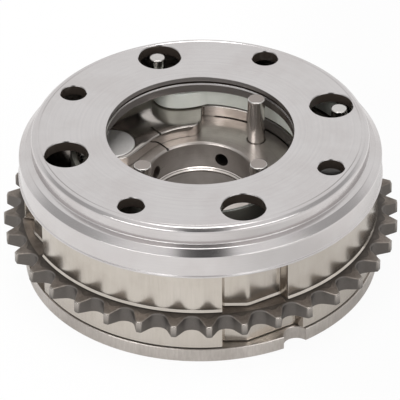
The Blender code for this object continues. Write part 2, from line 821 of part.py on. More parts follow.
mesh = bmesh.new()
sleeveTop = sleeveSeatTop - gap
sleeveBottom = rotorBottom + nosePocketDepth + gap
edge = 0.4 * mm
addSpin(mesh, [
    (sleeveBoreRadius, sleeveBottom),
    (sleeveRadius, sleeveBottom),
    (sleeveRadius, sleeveTop),
    (sleeveBoreRadius + edge, sleeveTop),
    (sleeveBoreRadius, sleeveTop - edge),
], 56)
objectFrom(mesh, "bore_sleeve", groundSteel, rotorAxis)


# Drive pins: three tall dowels standing on the hub's face.

for index, angle in enumerate(drivePinAngles):
    mesh = bmesh.new()
    edge = 0.3 * mm
    pinTop = rotorTop + drivePinStandOut
    addSpin(mesh, [
        (0.0, rotorTop - drivePinGrip),
        (drivePinRadius, rotorTop - drivePinGrip),
        (drivePinRadius, pinTop - edge),
        (drivePinRadius - edge, pinTop),
        (0.0, pinTop),
    ], 24, polar(drivePinCircle, angle))
    objectFrom(mesh, "drive_pin_" + str(index + 1), pinSteel, rotorAxis)


# Vane seals: bars that wipe the drum's inner wall.

for index, middle in enumerate(vaneMiddles):
    half = math.degrees(math.asin(sealWidth / 2.0 / sealTipRadius))
    floorRadius = vaneRadius - sealDepth + gap
    floorHalf = math.degrees(math.asin(sealWidth / 2.0 / floorRadius))
    outline = [
        polar(floorRadius, middle - floorHalf),
        polar(sealTipRadius, middle - half),
        polar(sealTipRadius, middle + half),
        polar(floorRadius, middle + floorHalf),
    ]
    mesh = bmesh.new()
    addPrism(mesh, outline, rotorBottom + gap, rotorTop - gap)
    objectFrom(mesh, "vane_seal_" + str(index + 1), sealPlastic, rotorAxis)


# Lock pin and its coil spring, in the bore of the wide vane.

lockAxis = bpy.data.objects.new("lock_axis", None)
bpy.context.scene.collection.objects.link(lockAxis)
lockAxis.parent = rotorAxis
lockAxis.location = (*polar(lockCircle, lockAngle), 0.0)

lockPinTop = rotorTop - gap
lockPinBottom = lockPinTop - lockPinLength
hollowRadius = lockPinRadius - lockPinWall
hollowRoof = lockPinTop - lockPinNose
mesh = bmesh.new()
edge = 0.5 * mm
addSpin(mesh, [
    (0.0, hollowRoof),
    (hollowRadius, hollowRoof),
    (hollowRadius, lockPinBottom),
    (lockPinRadius, lockPinBottom),
    (lockPinRadius, lockPinTop - edge),
    (lockPinRadius - edge, lockPinTop),
    (0.0, lockPinTop),
], 28)
objectFrom(mesh, "lock_pin", pinSteel, lockAxis)

coilRadius = hollowRadius - gap - lockWireRadius - 0.05 * mm
coilBottom = lockBoreBottom + gap + lockWireRadius
coilTop = hollowRoof - gap - lockWireRadius
turns = 6
steps = turns * 10
mesh = bmesh.new()
rings = []
for i in range(steps + 1):
    share = i / steps
    angle = 2.0 * math.pi * turns * share
    outward = Vector((math.cos(angle), math.sin(angle), 0.0))
    climb = (coilTop - coilBottom) / (2.0 * math.pi * turns * coilRadius)
    along = Vector((-math.sin(angle), math.cos(angle), climb))
    upward = outward.cross(along.normalized())
    centre = outward * coilRadius + Vector((0.0, 0.0, coilBottom + (coilTop - coilBottom) * share))
    ring = []
    for j in range(6):
        around = 2.0 * math.pi * j / 6
        rim = outward * math.cos(around) + upward * math.sin(around)
        ring.append(mesh.verts.new(centre + lockWireRadius * rim))
    rings.append(ring)
for near, far in zip(rings, rings[1:]):
    for j in range(6):
        k = (j + 1) % 6
        mesh.faces.new((near[j], near[k], far[k], far[j]))
mesh.faces.new(rings[0])
mesh.faces.new(list(reversed(rings[-1])))
objectFrom(mesh, "lock_spring", springSteel, lockAxis)
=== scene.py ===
import math

import bmesh
import bpy
import numpy as np
from mathutils import Matrix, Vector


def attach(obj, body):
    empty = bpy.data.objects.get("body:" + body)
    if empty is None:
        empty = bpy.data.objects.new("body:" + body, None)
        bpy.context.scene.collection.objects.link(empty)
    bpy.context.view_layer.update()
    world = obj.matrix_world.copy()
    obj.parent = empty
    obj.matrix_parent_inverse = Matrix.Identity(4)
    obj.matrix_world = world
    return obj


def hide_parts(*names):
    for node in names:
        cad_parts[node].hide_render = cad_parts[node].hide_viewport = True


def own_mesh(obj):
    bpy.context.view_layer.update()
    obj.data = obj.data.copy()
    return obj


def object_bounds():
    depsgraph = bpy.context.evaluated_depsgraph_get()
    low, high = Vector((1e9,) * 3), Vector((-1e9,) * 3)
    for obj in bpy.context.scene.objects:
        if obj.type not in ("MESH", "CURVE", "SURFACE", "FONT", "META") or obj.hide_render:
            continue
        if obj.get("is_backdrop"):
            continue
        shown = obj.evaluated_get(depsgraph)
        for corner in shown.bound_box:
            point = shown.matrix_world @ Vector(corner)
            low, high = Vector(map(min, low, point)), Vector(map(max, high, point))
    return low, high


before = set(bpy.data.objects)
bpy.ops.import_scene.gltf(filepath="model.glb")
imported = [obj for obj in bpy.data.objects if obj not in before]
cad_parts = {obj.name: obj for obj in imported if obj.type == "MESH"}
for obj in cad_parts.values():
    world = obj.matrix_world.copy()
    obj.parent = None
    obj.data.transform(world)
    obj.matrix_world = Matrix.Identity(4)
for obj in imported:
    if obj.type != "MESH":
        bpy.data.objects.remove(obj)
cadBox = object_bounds()
print("frame loaded:", len(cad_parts), "nodes")

scene = bpy.context.scene
scene.view_settings.view_transform = "Standard"
mm = 0.001


# Small helpers for colours, nodes and meshes.

def linear(hexColour):
    # sRGB to linear light: a straight line near black, a 2.4 power above it
    parts = np.array([int(hexColour[i:i + 2], 16) for i in (1, 3, 5)]) / 255.0
    shade = np.where(parts < 0.04045, parts / 12.92, ((parts + 0.055) / 1.055) ** 2.4)
    return (*[float(part) for part in shade], 1.0)


def addNode(tree, kind, settings, sockets):
    # settings are the node's own choices; sockets take a value or the output that feeds them
    item = tree.nodes.new(kind)
    for key, value in settings.items():
        setattr(item, key, value)
    for key, value in sockets.items():
        if isinstance(value, bpy.types.NodeSocket):
            tree.links.new(value, item.inputs[key])
        else:
            item.inputs[key].default_value = value
    return item


def startMaterial(name, roughness, metallic=1.0):
    material = bpy.data.materials.new(name)
    material.use_nodes = True
    shader = material.node_tree.nodes["Principled BSDF"]
    shader.inputs["Roughness"].default_value = roughness
    shader.inputs["Metallic"].default_value = metallic
    return material, material.node_tree, shader


def latheDistance(tree, lean=1.7):
    # distance from the cam axis plus a share of the height, so that lathe marks run as rings on
    # flat faces, on walls and on the slopes between them
    place = addNode(tree, "ShaderNodeTexCoord", {}, {}).outputs["Object"]
    split = addNode(tree, "ShaderNodeSeparateXYZ", {}, {0: place})
    flat = addNode(tree, "ShaderNodeCombineXYZ", {}, {0: split.outputs[0], 1: split.outputs[1]})
    away = addNode(tree, "ShaderNodeVectorMath", {"operation": "LENGTH"}, {0: flat.outputs[0]})
    return addNode(tree, "ShaderNodeMath", {"operation": "MULTIPLY_ADD"},
                   {0: split.outputs[2], 1: lean, 2: away.outputs["Value"]}).outputs[0]


def finishMetal(tree, shader, look, grain):
    # grain, from 0 to 1, moves the colour between two shades, the roughness and a shallow bump;
    # a slow cloud adds the handling stains, and the look's dark colour, painted shade, lies where the piece's
    # shade-and-soil attribute says
    place = addNode(tree, "ShaderNodeTexCoord", {}, {}).outputs["Object"]
    cloud = addNode(tree, "ShaderNodeTexNoise", {}, {"Vector": place, "Scale": 1.0 / (look["stainMm"] * mm),
                                                     "Detail": 4.0, "Roughness": 0.6}).outputs[0]
    stain = addNode(tree, "ShaderNodeMapRange", {"interpolation_type": "SMOOTHSTEP"},
                    {0: cloud, 1: 0.35, 2: 0.7, 3: 0.0, 4: look["stain"]}).outputs[0]
    grained = addNode(tree, "ShaderNodeMix", {"data_type": "RGBA"},
                      {0: grain, 6: linear(look["colour"]), 7: linear(look["shade"])}).outputs[2]
    tinted = addNode(tree, "ShaderNodeMix", {"data_type": "RGBA"},
                     {0: stain, 6: grained, 7: linear(look["stainColour"])}).outputs[2]
    if "oil" in look:
        oiled = addNode(tree, "ShaderNodeAttribute", {"attribute_name": "oiled"}, {}).outputs["Fac"]
        tinted = addNode(tree, "ShaderNodeMix", {"data_type": "RGBA"},
                         {0: oiled, 6: tinted, 7: linear(look["oil"])}).outputs[2]
        bare = shader.inputs["Metallic"].default_value
        covered = addNode(tree, "ShaderNodeMapRange", {}, {0: oiled, 1: 0.0, 2: 1.0, 3: bare, 4: 0.15}).outputs[0]
        tree.links.new(covered, shader.inputs["Metallic"])
    tree.links.new(tinted, shader.inputs["Base Color"])
    rough = addNode(tree, "ShaderNodeMapRange", {},
                    {0: grain, 1: 0.0, 2: 1.0, 3: look["roughness"][0], 4: look["roughness"][1]}).outputs[0]
    rougher = addNode(tree, "ShaderNodeMath", {"operation": "MULTIPLY_ADD"},
                      {0: stain, 1: 0.12, 2: rough}).outputs[0]
    tree.links.new(rougher, shader.inputs["Roughness"])
    bump = addNode(tree, "ShaderNodeBump", {}, {"Strength": look["bump"], "Distance": look["bumpMm"] * mm,
                                                "Height": grain}).outputs[0]
    tree.links.new(bump, shader.inputs["Normal"])
    return bump


def gridMesh(name, rows, ends="closed"):
    # rows is an array of loops (loop, point, xyz) in millimetres; each loop closes on itself.
    # ends "closed" joins the last loop to the first, "poles" leaves two end loops that have
    # shrunk to a point, and "caps" fills the two end loops with flat faces
    rows = np.asarray(rows, dtype=float)
    loops, around = rows.shape[:2]
    index = np.arange(loops * around).reshape(loops, around)
    near = index if ends == "closed" else index[:-1]
    far = np.roll(index, -1, axis=0) if ends == "closed" else index[1:]
    quads = np.stack([near, np.roll(near, -1, axis=1), np.roll(far, -1, axis=1), far], axis=-1).reshape(-1, 4)
    faces = quads.tolist()
    if ends == "caps":
        faces += [index[0].tolist(), index[-1][::-1].tolist()]
    mesh = bpy.data.meshes.new(name)
    mesh.from_pydata((rows.reshape(-1, 3) * mm).tolist(), [], faces)
    work = bmesh.new()
    work.from_mesh(mesh)
    bmesh.ops.remove_doubles(work, verts=work.verts, dist=1e-7)
    bmesh.ops.dissolve_degenerate(work, edges=work.edges, dist=1e-8)
    bmesh.ops.recalc_face_normals(work, faces=work.faces)
    work.to_mesh(mesh)
    work.free()
    return mesh


def makePiece(name, mesh):
    piece = bpy.data.objects.new(name, mesh)
    scene.collection.objects.link(piece)
    return piece


def smoothPiece(piece, material, sharp=32.0):
    # smooth shading inside each machined face, hard where two faces meet
    mesh = piece.data
    mesh.polygons.foreach_set("use_smooth", np.ones(len(mesh.polygons), dtype=bool))
    mesh.set_sharp_from_angle(angle=math.radians(sharp))
    mesh.materials.clear()
    mesh.materials.append(material)
    mesh.polygons.foreach_set("material_index", np.zeros(len(mesh.polygons), dtype=np.int32))
    weighted = piece.modifiers.new("normals", "WEIGHTED_NORMAL")
    weighted.keep_sharp = True
    weighted.weight = 90


def faceMiddles(piece):
    # the middle of each face in millimetres, its distance from the cam axis and its turn in degrees
    middles = np.empty(len(piece.data.polygons) * 3)
    piece.data.polygons.foreach_get("center", middles)
    middles = middles.reshape(-1, 3) / mm
    return middles, np.hypot(middles[:, 0], middles[:, 1]), np.degrees(np.arctan2(middles[:, 1], middles[:, 0]))


def layShadeAndSoil(piece, share):
    # how far each face is painted dark, from 0 to 1: painted shade, and a darker band on the sprocket
    oiled = piece.data.attributes.new("oiled", "FLOAT", "FACE")
    oiled.data.foreach_set("value", np.asarray(share, dtype=np.float32))


def carve(piece, toolMesh):
    # takes a closed tool out of the piece and keeps the result as a plain mesh
    tool = makePiece("tool", toolMesh)
    cut = piece.modifiers.new("cut", "BOOLEAN")
    cut.operation = "DIFFERENCE"
    cut.solver = "EXACT"
    cut.object = tool
    bpy.context.view_layer.update()
    shaped = bpy.data.meshes.new_from_object(piece.evaluated_get(bpy.context.evaluated_depsgraph_get()))
    piece.modifiers.clear()
    piece.data = shaped
    bpy.data.objects.remove(tool)


def joinMeshes(name, meshes):
    work = bmesh.new()
    for mesh in meshes:
        work.from_mesh(mesh)
    joined = bpy.data.meshes.new(name)
    work.to_mesh(joined)
    work.free()
    return joined


def ring(radius, height, angles, centre=(0.0, 0.0)):
    # x = cx + r cos a, y = cy + r sin a; radius and height are numbers or arrays over the angles
    turn = np.radians(angles)
    radius = np.broadcast_to(radius, turn.shape)
    height = np.broadcast_to(height, turn.shape)
    return np.stack([centre[0] + radius * np.cos(turn), centre[1] + radius * np.sin(turn), height], axis=-1)


def polar(radius, degrees):
    return (radius * math.cos(math.radians(degrees)), radius * math.sin(math.radians(degrees)))


def softCorners(corners, steps=4, closed=True):
    # corners are (radius, height, rounding); each becomes a short parabola that starts and ends
    # its rounding away from the corner, along the two sides that meet there
    corners = np.asarray(corners, dtype=float)
    points = corners[:, :2]
    before = np.roll(points, 1, axis=0) - points
    after = np.roll(points, -1, axis=0) - points
    reach = corners[:, 2:3]
    start = points + before / np.maximum(np.linalg.norm(before, axis=1, keepdims=True), 1e-9) * reach
    end = points + after / np.maximum(np.linalg.norm(after, axis=1, keepdims=True), 1e-9) * reach
    share = np.linspace(0.0, 1.0, steps + 1)[None, :, None]
    curve = (1 - share) ** 2 * start[:, None] + 2 * share * (1 - share) * points[:, None] + share ** 2 * end[:, None]
    line = [curve[i] if corners[i, 2] > 0 else points[i:i + 1] for i in range(len(points))]
    return np.concatenate(line)


def turnedMesh(name, profile, count, centre=(0.0, 0.0), ends="closed"):
    # a (radius, height) profile turned round a vertical line
    angles = np.arange(count) * 360.0 / count
    return gridMesh(name, [ring(radius, height, angles, centre) for radius, height in profile], ends)


def rodMesh(name, start, end, radius, count=28):
    # a round bar between two points, as two loops across its length and flat ends
    start = np.asarray(start, dtype=float)
    end = np.asarray(end, dtype=float)
    along = (end - start) / np.linalg.norm(end - start)
    side = np.cross(along, (0.0, 0.0, 1.0))
    side = side / np.linalg.norm(side)
    other = np.cross(along, side)
    turn = np.radians(np.arange(count) * 360.0 / count)[:, None]
    circle = radius * (np.cos(turn) * side + np.sin(turn) * other)
    return gridMesh(name, [start + circle, end + circle], "caps")


def boxMesh(name, angle, inner, outer, low, high, width):
    # a thin bar that lies along a radius: four corners of its section at each end
    along = np.array(polar(1.0, angle))
    side = np.array([-along[1], along[0]]) * width / 2.0
    section = [(-1, low), (1, low), (1, high), (-1, high)]
    ends = [[(*(along * r + side * s), z) for s, z in section] for r in (inner, outer)]
    return gridMesh(name, ends, "caps")


# Camera: a long lens far away, 35.8 degrees above the horizon, leaning by half a degree.
view = {"target": (-0.2, 0.0, 15.97), "distance": 800.0, "elevation": 35.8, "lean": 0.57, "lens": 293.17}
rise = math.radians(view["elevation"])
lean = math.radians(view["lean"])
forward = np.array([0.0, math.cos(rise), -math.sin(rise)])
right = np.array([1.0, 0.0, 0.0])
upward = np.array([0.0, math.sin(rise), math.cos(rise)])
rightLean = math.cos(lean) * right - math.sin(lean) * upward
upLean = math.sin(lean) * right + math.cos(lean) * upward
spot = (np.array(view["target"]) - view["distance"] * forward) * mm
cameraData = bpy.data.cameras.new("camera")
cameraData.lens = view["lens"]
cameraData.sensor_width = 36.0
cameraData.clip_end = 10.0
camera = bpy.data.objects.new("camera", cameraData)
pose = np.identity(4)
pose[:3, 0] = rightLean
pose[:3, 1] = upLean
pose[:3, 2] = -forward
pose[:3, 3] = spot
camera.matrix_world = Matrix(pose.tolist())
scene.collection.objects.link(camera)
scene.camera = camera
print("camera set")


# Studio: a white tent. The sky is white but for a dark gap high in front, between two long soft
# lamps; a third lamp hangs overhead.
studio = {"skyStrength": 0.92, "gapTurn": 272.0, "gapWidth": (8.0, 14.0), "gapFoot": (30.0, 38.0),
          "gapTop": (64.0, 72.0), "gapLevel": 0.03, "dimBand": (16.0, 30.0, 60.0, 72.0), "dimSide": (0.42, 0.75), "dimLevel": 0.5,
          "lampTurns": (229.0, 315.0), "lampRise": 39.0, "lampAway": 0.93, "lampLong": 0.6, "lampHigh": 0.12,
          "lampPower": (1.1, 0.85), "overheadPower": 2.6, "overheadSize": 0.45,
          "floorTint": "#F4F3F2", "floorShadeTint": "#D2D1D0", "floorShadeBand": (0.0, 0.045, 0.062, 0.078), "floorSeen": 0.94, "floorMirrored": 0.36}
world = bpy.data.worlds.new("whiteTent")
scene.world = world
world.use_nodes = True
sky = world.node_tree
background = sky.nodes["Background"]
skyWay = addNode(sky, "ShaderNodeTexCoord", {}, {}).outputs["Generated"]
skyHeight = addNode(sky, "ShaderNodeSeparateXYZ", {}, {0: skyWay}).outputs[2]


def sines(degrees):
    return [math.sin(math.radians(value)) for value in degrees]


gapAside = (*polar(1.0, studio["gapTurn"] + 90.0), 0.0)
gapAhead = (*polar(1.0, studio["gapTurn"]), 0.0)
besideGap = addNode(sky, "ShaderNodeVectorMath", {"operation": "DOT_PRODUCT"}, {0: skyWay, 1: gapAside}).outputs["Value"]
besideGap = addNode(sky, "ShaderNodeMath", {"operation": "ABSOLUTE"}, {0: besideGap}).outputs[0]
inFront = addNode(sky, "ShaderNodeVectorMath", {"operation": "DOT_PRODUCT"}, {0: skyWay, 1: gapAhead}).outputs["Value"]
# each fade is a smooth step: what it reads, its two edges and the levels below and above them;
# the tent's two sides are dimmer than its front, back and roof
dimFoot, dimIn, dimOut, dimTop = sines(studio["dimBand"])
fades = [addNode(sky, "ShaderNodeMapRange", {"interpolation_type": "SMOOTHSTEP"},
                 {0: value, 1: edges[0], 2: edges[1], 3: levels[0], 4: levels[1]}).outputs[0]
         for value, edges, levels in (
             (besideGap, sines(studio["gapWidth"]), (1.0, 0.0)), (skyHeight, sines(studio["gapFoot"]), (0.0, 1.0)),
             (skyHeight, sines(studio["gapTop"]), (1.0, 0.0)), (inFront, (0.0, 0.05), (0.0, 1.0)),
             (skyHeight, (dimFoot, dimIn), (0.0, studio["dimLevel"])), (skyHeight, (dimOut, dimTop), (1.0, 0.0)),
             (besideGap, studio["dimSide"], (0.0, 1.0)))]
gapShare, dimShare = fades[0], fades[4]
for more in fades[1:4]:
    gapShare = addNode(sky, "ShaderNodeMath", {"operation": "MULTIPLY"}, {0: gapShare, 1: more}).outputs[0]
for more in fades[5:]:
    dimShare = addNode(sky, "ShaderNodeMath", {"operation": "MULTIPLY"}, {0: dimShare, 1: more}).outputs[0]
darkShare = addNode(sky, "ShaderNodeMath", {"operation": "MAXIMUM"}, {0: gapShare, 1: dimShare}).outputs[0]
skyLevel = addNode(sky, "ShaderNodeMix", {"data_type": "FLOAT"},
                   {0: darkShare, 2: studio["skyStrength"], 3: studio["gapLevel"]}).outputs[0]
eye = addNode(sky, "ShaderNodeLightPath", {}, {}).outputs["Is Camera Ray"]
skySeen = addNode(sky, "ShaderNodeMix", {"data_type": "FLOAT"}, {0: eye, 2: skyLevel, 3: 1.0}).outputs[0]
sky.links.new(skySeen, background.inputs["Strength"])
background.inputs["Color"].default_value = (1.0, 1.0, 1.0, 1.0)

lampSpots = [(*polar(studio["lampAway"] * math.cos(math.radians(studio["lampRise"])), turn),
              studio["lampAway"] * math.sin(math.radians(studio["lampRise"]))) for turn in studio["lampTurns"]]
for name, spotAt, sizes, power in (
        ("lampLeft", lampSpots[0], (studio["lampLong"], studio["lampHigh"]), studio["lampPower"][0]),
        ("lampRight", lampSpots[1], (studio["lampLong"], studio["lampHigh"]), studio["lampPower"][1]),
        ("lampOverhead", (0.0, 0.02, 1.0), (studio["overheadSize"],) * 2, studio["overheadPower"])):
    lampData = bpy.data.lights.new(name, "AREA")
    lampData.energy = power
    lampData.shape = "RECTANGLE"
    lampData.size, lampData.size_y = sizes
    lamp = bpy.data.objects.new(name, lampData)
    lampAt = np.array(spotAt)
    aim = -lampAt / np.linalg.norm(lampAt)
    aside = np.cross(aim, (0.0, 0.0, 1.0))
    aside = aside / np.linalg.norm(aside)
    pose = np.identity(4)
    pose[:3, 0] = aside
    pose[:3, 1] = np.cross(aside, aim)
    pose[:3, 2] = -aim
    pose[:3, 3] = lampAt
    lamp.matrix_world = Matrix(pose.tolist())
    scene.collection.objects.link(lamp)

# Floor: white paper. Seen directly it is mostly lifted to plain white, with a trace of shadow.
floorSide = 1500.0
floorDrop = -0.05
floorLine = np.linspace(-floorSide, floorSide, 3)
floorX, floorY = np.meshgrid(floorLine, floorLine)
floorPoints = np.stack([floorX, floorY, np.full_like(floorX, floorDrop)], axis=-1).reshape(-1, 3) * mm
floorMesh = bpy.data.meshes.new("floor")
floorMesh.from_pydata(floorPoints.tolist(), [], [(0, 1, 4, 3), (1, 2, 5, 4), (3, 4, 7, 6), (4, 5, 8, 7)])
floor = makePiece("floor", floorMesh)
floorMaterial, floorTree, floorShader = startMaterial("whitePaper", 0.9, 0.0)
# painted shade: the paper is greyer, and mirrors less, in a band on the right, so that the drum's right side reflects
# it darker
floorPlace = addNode(floorTree, "ShaderNodeTexCoord", {}, {}).outputs["Object"]
floorAside = addNode(floorTree, "ShaderNodeSeparateXYZ", {}, {0: floorPlace}).outputs[0]
bandIn, bandOut = [addNode(floorTree, "ShaderNodeMapRange", {"interpolation_type": "SMOOTHSTEP"},
                           {0: floorAside, 1: start, 2: end, 3: low, 4: high}).outputs[0]
                   for start, end, low, high in ((*studio["floorShadeBand"][:2], 0.0, 1.0),
                                                 (*studio["floorShadeBand"][2:], 1.0, 0.0))]
floorShadeBand = addNode(floorTree, "ShaderNodeMath", {"operation": "MULTIPLY"}, {0: bandIn, 1: bandOut}).outputs[0]
paperTint = addNode(floorTree, "ShaderNodeMix", {"data_type": "RGBA"},
                    {0: floorShadeBand, 6: linear(studio["floorTint"]), 7: linear(studio["floorShadeTint"])}).outputs[2]
floorTree.links.new(paperTint, floorShader.inputs["Base Color"])
paperGlow = addNode(floorTree, "ShaderNodeEmission", {}, {"Color": (1.0, 1.0, 1.0, 1.0), "Strength": 1.0}).outputs[0]
floorRay = addNode(floorTree, "ShaderNodeLightPath", {}, {})
mirrored = addNode(floorTree, "ShaderNodeMapRange", {}, {0: floorShadeBand, 1: 0.0, 2: 1.0, 3: studio["floorMirrored"],
                                                         4: 0.7 * studio["floorMirrored"]}).outputs[0]
floorGlossy = addNode(floorTree, "ShaderNodeMath", {"operation": "MULTIPLY"},
                      {0: floorRay.outputs["Is Glossy Ray"], 1: mirrored}).outputs[0]
floorLift = addNode(floorTree, "ShaderNodeMath", {"operation": "MULTIPLY_ADD"},
                    {0: floorRay.outputs["Is Camera Ray"], 1: studio["floorSeen"], 2: floorGlossy}).outputs[0]
paperSeen = addNode(floorTree, "ShaderNodeMixShader", {}, {0: floorLift, 1: floorShader.outputs[0], 2: paperGlow})
# from below the paper is clear, so that the rear face can be looked at
under = addNode(floorTree, "ShaderNodeNewGeometry", {}, {}).outputs["Backfacing"]
clear = addNode(floorTree, "ShaderNodeBsdfTransparent", {}, {}).outputs[0]
paperSeen = addNode(floorTree, "ShaderNodeMixShader", {}, {0: under, 1: paperSeen.outputs[0], 2: clear})
floorTree.links.new(paperSeen.outputs[0], floorTree.nodes["Material Output"].inputs["Surface"])
floorMesh.materials.append(floorMaterial)
floor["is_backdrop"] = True
print("studio set")


# Materials. Each metal is a steel with its own way of being made.

def turnedSteel(name, look):
    # low-carbon steel, turned on a lathe and tumbled: satin, with rings too fine to see one by
    # one; they are drawn several feeds wide so that they show at all
    material, tree, shader = startMaterial(name, look["roughness"][0])
    rings = addNode(tree, "ShaderNodeTexNoise", {"noise_dimensions": "1D"},
                    {"W": latheDistance(tree), "Scale": 1.0 / (look["ringMm"] * mm), "Detail": 3.0,
                     "Roughness": 0.7}).outputs[0]
    finishMetal(tree, shader, look, rings)
    return material


def groundSteel(name, look):
    # steel wall ground or drawn along the axis: near mirror, with hair lines that run with the
    # height, so the noise is squeezed round the ring and stretched up it
    material, tree, shader = startMaterial(name, look["roughness"][0], look.get("metallic", 1.0))
    place = addNode(tree, "ShaderNodeTexCoord", {}, {}).outputs["Object"]
    drawn = addNode(tree, "ShaderNodeMapping", {}, {0: place, 3: (1.0, 1.0, look["stretch"])}).outputs[0]
    hairs = addNode(tree, "ShaderNodeTexNoise", {}, {"Vector": drawn, "Scale": 1.0 / (look["hairMm"] * mm),
                                                     "Detail": 3.0, "Roughness": 0.65}).outputs[0]
    finishMetal(tree, shader, look, hairs)
    if "end" in look:
        # the end that faces up is sawn and dull
        skin = shader.inputs["Base Color"].links[0].from_socket
        facing = addNode(tree, "ShaderNodeNewGeometry", {}, {}).outputs["Normal"]
        upward = addNode(tree, "ShaderNodeSeparateXYZ", {}, {0: facing}).outputs[2]
        onEnd = addNode(tree, "ShaderNodeMapRange", {}, {0: upward, 1: 0.93, 2: 0.99, 3: 0.0, 4: 1.0}).outputs[0]
        dulled = addNode(tree, "ShaderNodeMix", {"data_type": "RGBA"},
                         {0: onEnd, 6: skin, 7: linear(look["end"])}).outputs[2]
        tree.links.new(dulled, shader.inputs["Base Color"])
    return material


def sinteredSteel(name, look):
    # pressed and sintered iron, steam treated: dark, dull, with fine pores; where the piece carries the
    # rubbed attribute the dark skin is painted bright, partly as wear from the chain, partly as a painted highlight
    material, tree, shader = startMaterial(name, look["roughness"][0])
    place = addNode(tree, "ShaderNodeTexCoord", {}, {}).outputs["Object"]
    pores = addNode(tree, "ShaderNodeTexNoise", {}, {"Vector": place, "Scale": 1.0 / (look["poreMm"] * mm),
                                                     "Detail": 5.0, "Roughness": 0.7}).outputs[0]
    finishMetal(tree, shader, look, pores)
    rubbedAndHighlit = addNode(tree, "ShaderNodeAttribute", {"attribute_name": "rubbedAndHighlit"}, {}).outputs["Fac"]
    broken = addNode(tree, "ShaderNodeMath", {"operation": "MULTIPLY_ADD", "use_clamp": True},
                     {0: pores, 1: look["rubBreak"], 2: rubbedAndHighlit}).outputs[0]
    wornAndHighlit = addNode(tree, "ShaderNodeMath", {"operation": "MULTIPLY", "use_clamp": True},
                   {0: broken, 1: rubbedAndHighlit}).outputs[0]
    skin = shader.inputs["Base Color"].links[0].from_socket
    walls = addNode(tree, "ShaderNodeAttribute", {"attribute_name": "walls"}, {}).outputs["Fac"]
    wallSkin = addNode(tree, "ShaderNodeMix", {"data_type": "RGBA", "blend_type": "MIX"},
                       {0: walls, 6: skin, 7: linear(look["wall"])}).outputs[2]
    bare = addNode(tree, "ShaderNodeMix", {"data_type": "RGBA"},
                   {0: wornAndHighlit, 6: wallSkin, 7: linear(look["bare"])}).outputs[2]
    tree.links.new(bare, shader.inputs["Base Color"])
    rough = shader.inputs["Roughness"].links[0].from_socket
    smoother = addNode(tree, "ShaderNodeMix", {"data_type": "FLOAT"}, {0: wornAndHighlit, 2: rough, 3: 0.25}).outputs[0]
    tree.links.new(smoother, shader.inputs["Roughness"])
    return material


def mouldedPlastic(name, look):
    # glass-filled nylon, moulded: dull black with a fine grain
    material, tree, shader = startMaterial(name, look["roughness"][0], 0.0)
    place = addNode(tree, "ShaderNodeTexCoord", {}, {}).outputs["Object"]
    grain = addNode(tree, "ShaderNodeTexNoise", {}, {"Vector": place, "Scale": 1.0 / (look["grainMm"] * mm),
                                                     "Detail": 3.0}).outputs[0]
    finishMetal(tree, shader, look, grain)
    return material


# A look's dark shade-and-soil colour is painted shade for recesses and shaded sides.
coverSteelLook = {"colour": "#D6D2D1", "shade": "#CBC8C8", "stainColour": "#BCB5B3", "stain": 0.32,
                  "stainMm": 12.0, "roughness": (0.14, 0.2), "ringMm": 0.55, "bump": 0.09, "bumpMm": 0.02,
                  "oil": "#48403A"}
rearSteelLook = {"colour": "#E0DAD4", "shade": "#B3ACA6", "stainColour": "#9E9791", "stain": 0.4,
                 "stainMm": 12.0, "roughness": (0.25, 0.42), "hairMm": 0.55, "stretch": 0.2, "bump": 0.3,
                 "bumpMm": 0.03}
drumSteelLook = {"colour": "#D2CBC3", "shade": "#C2BBB2", "stainColour": "#ACA396", "stain": 0.35,
                 "stainMm": 16.0, "roughness": (0.15, 0.24), "hairMm": 0.5, "stretch": 0.06,
                 "bump": 0.12, "bumpMm": 0.02}
teethLook = {"colour": "#9A9189", "shade": "#5E5650", "stainColour": "#4C4640", "stain": 0.5, "stainMm": 4.0,
             "roughness": (0.38, 0.55), "poreMm": 0.4, "bump": 0.5, "bumpMm": 0.04, "bare": "#A8A29C",
             "rubBreak": 0.7, "wall": "#585451", "oil": "#2A231D"}
plateSteelLook = {"colour": "#C0BAB5", "shade": "#ADA7A1", "stainColour": "#8F867F", "stain": 0.5,
                  "stainMm": 9.0, "roughness": (0.07, 0.14), "ringMm": 0.4, "bump": 0.12, "bumpMm": 0.02,
                  "oil": "#2B2721"}
hubSteelLook = {"colour": "#D8D1CC", "shade": "#C0B8B2", "stainColour": "#968C84", "stain": 0.5,
                "stainMm": 8.0, "roughness": (0.24, 0.34), "ringMm": 0.35, "bump": 0.15, "bumpMm": 0.02,
                "oil": "#2B2721"}
sleeveSteelLook = {"oil": "#4A4038", "colour": "#E2DCD7", "shade": "#CFC7C1", "stainColour": "#A0978F", "stain": 0.4,
                   "stainMm": 8.0, "roughness": (0.14, 0.24), "ringMm": 0.3, "bump": 0.15, "bumpMm": 0.02}
bushSteelLook = {"colour": "#EAE8E6", "shade": "#DCD9D7", "stainColour": "#AFA9A4", "stain": 0.3,
                 "stainMm": 6.0, "roughness": (0.42, 0.52), "ringMm": 0.3, "bump": 0.12, "bumpMm": 0.02}
stripSteelLook = {"colour": "#F6F9F3", "shade": "#EDF2EA", "stainColour": "#C4CABF", "stain": 0.3,
                  "oil": "#453C31", "stainMm": 10.0, "metallic": 0.15, "roughness": (0.3, 0.42), "hairMm": 0.35, "stretch": 3.0,
                  "bump": 0.1, "bumpMm": 0.02}
pinSteelLook = {"colour": "#E4E1DE", "shade": "#C4BFBB", "stainColour": "#A09A95", "stain": 0.35,
                "end": "#9D9590", "stainMm": 5.0, "roughness": (0.16, 0.26), "hairMm": 0.25, "stretch": 0.08,
                "bump": 0.15, "bumpMm": 0.02}
postSteelLook = {**pinSteelLook, "end": "#CECBC8"}
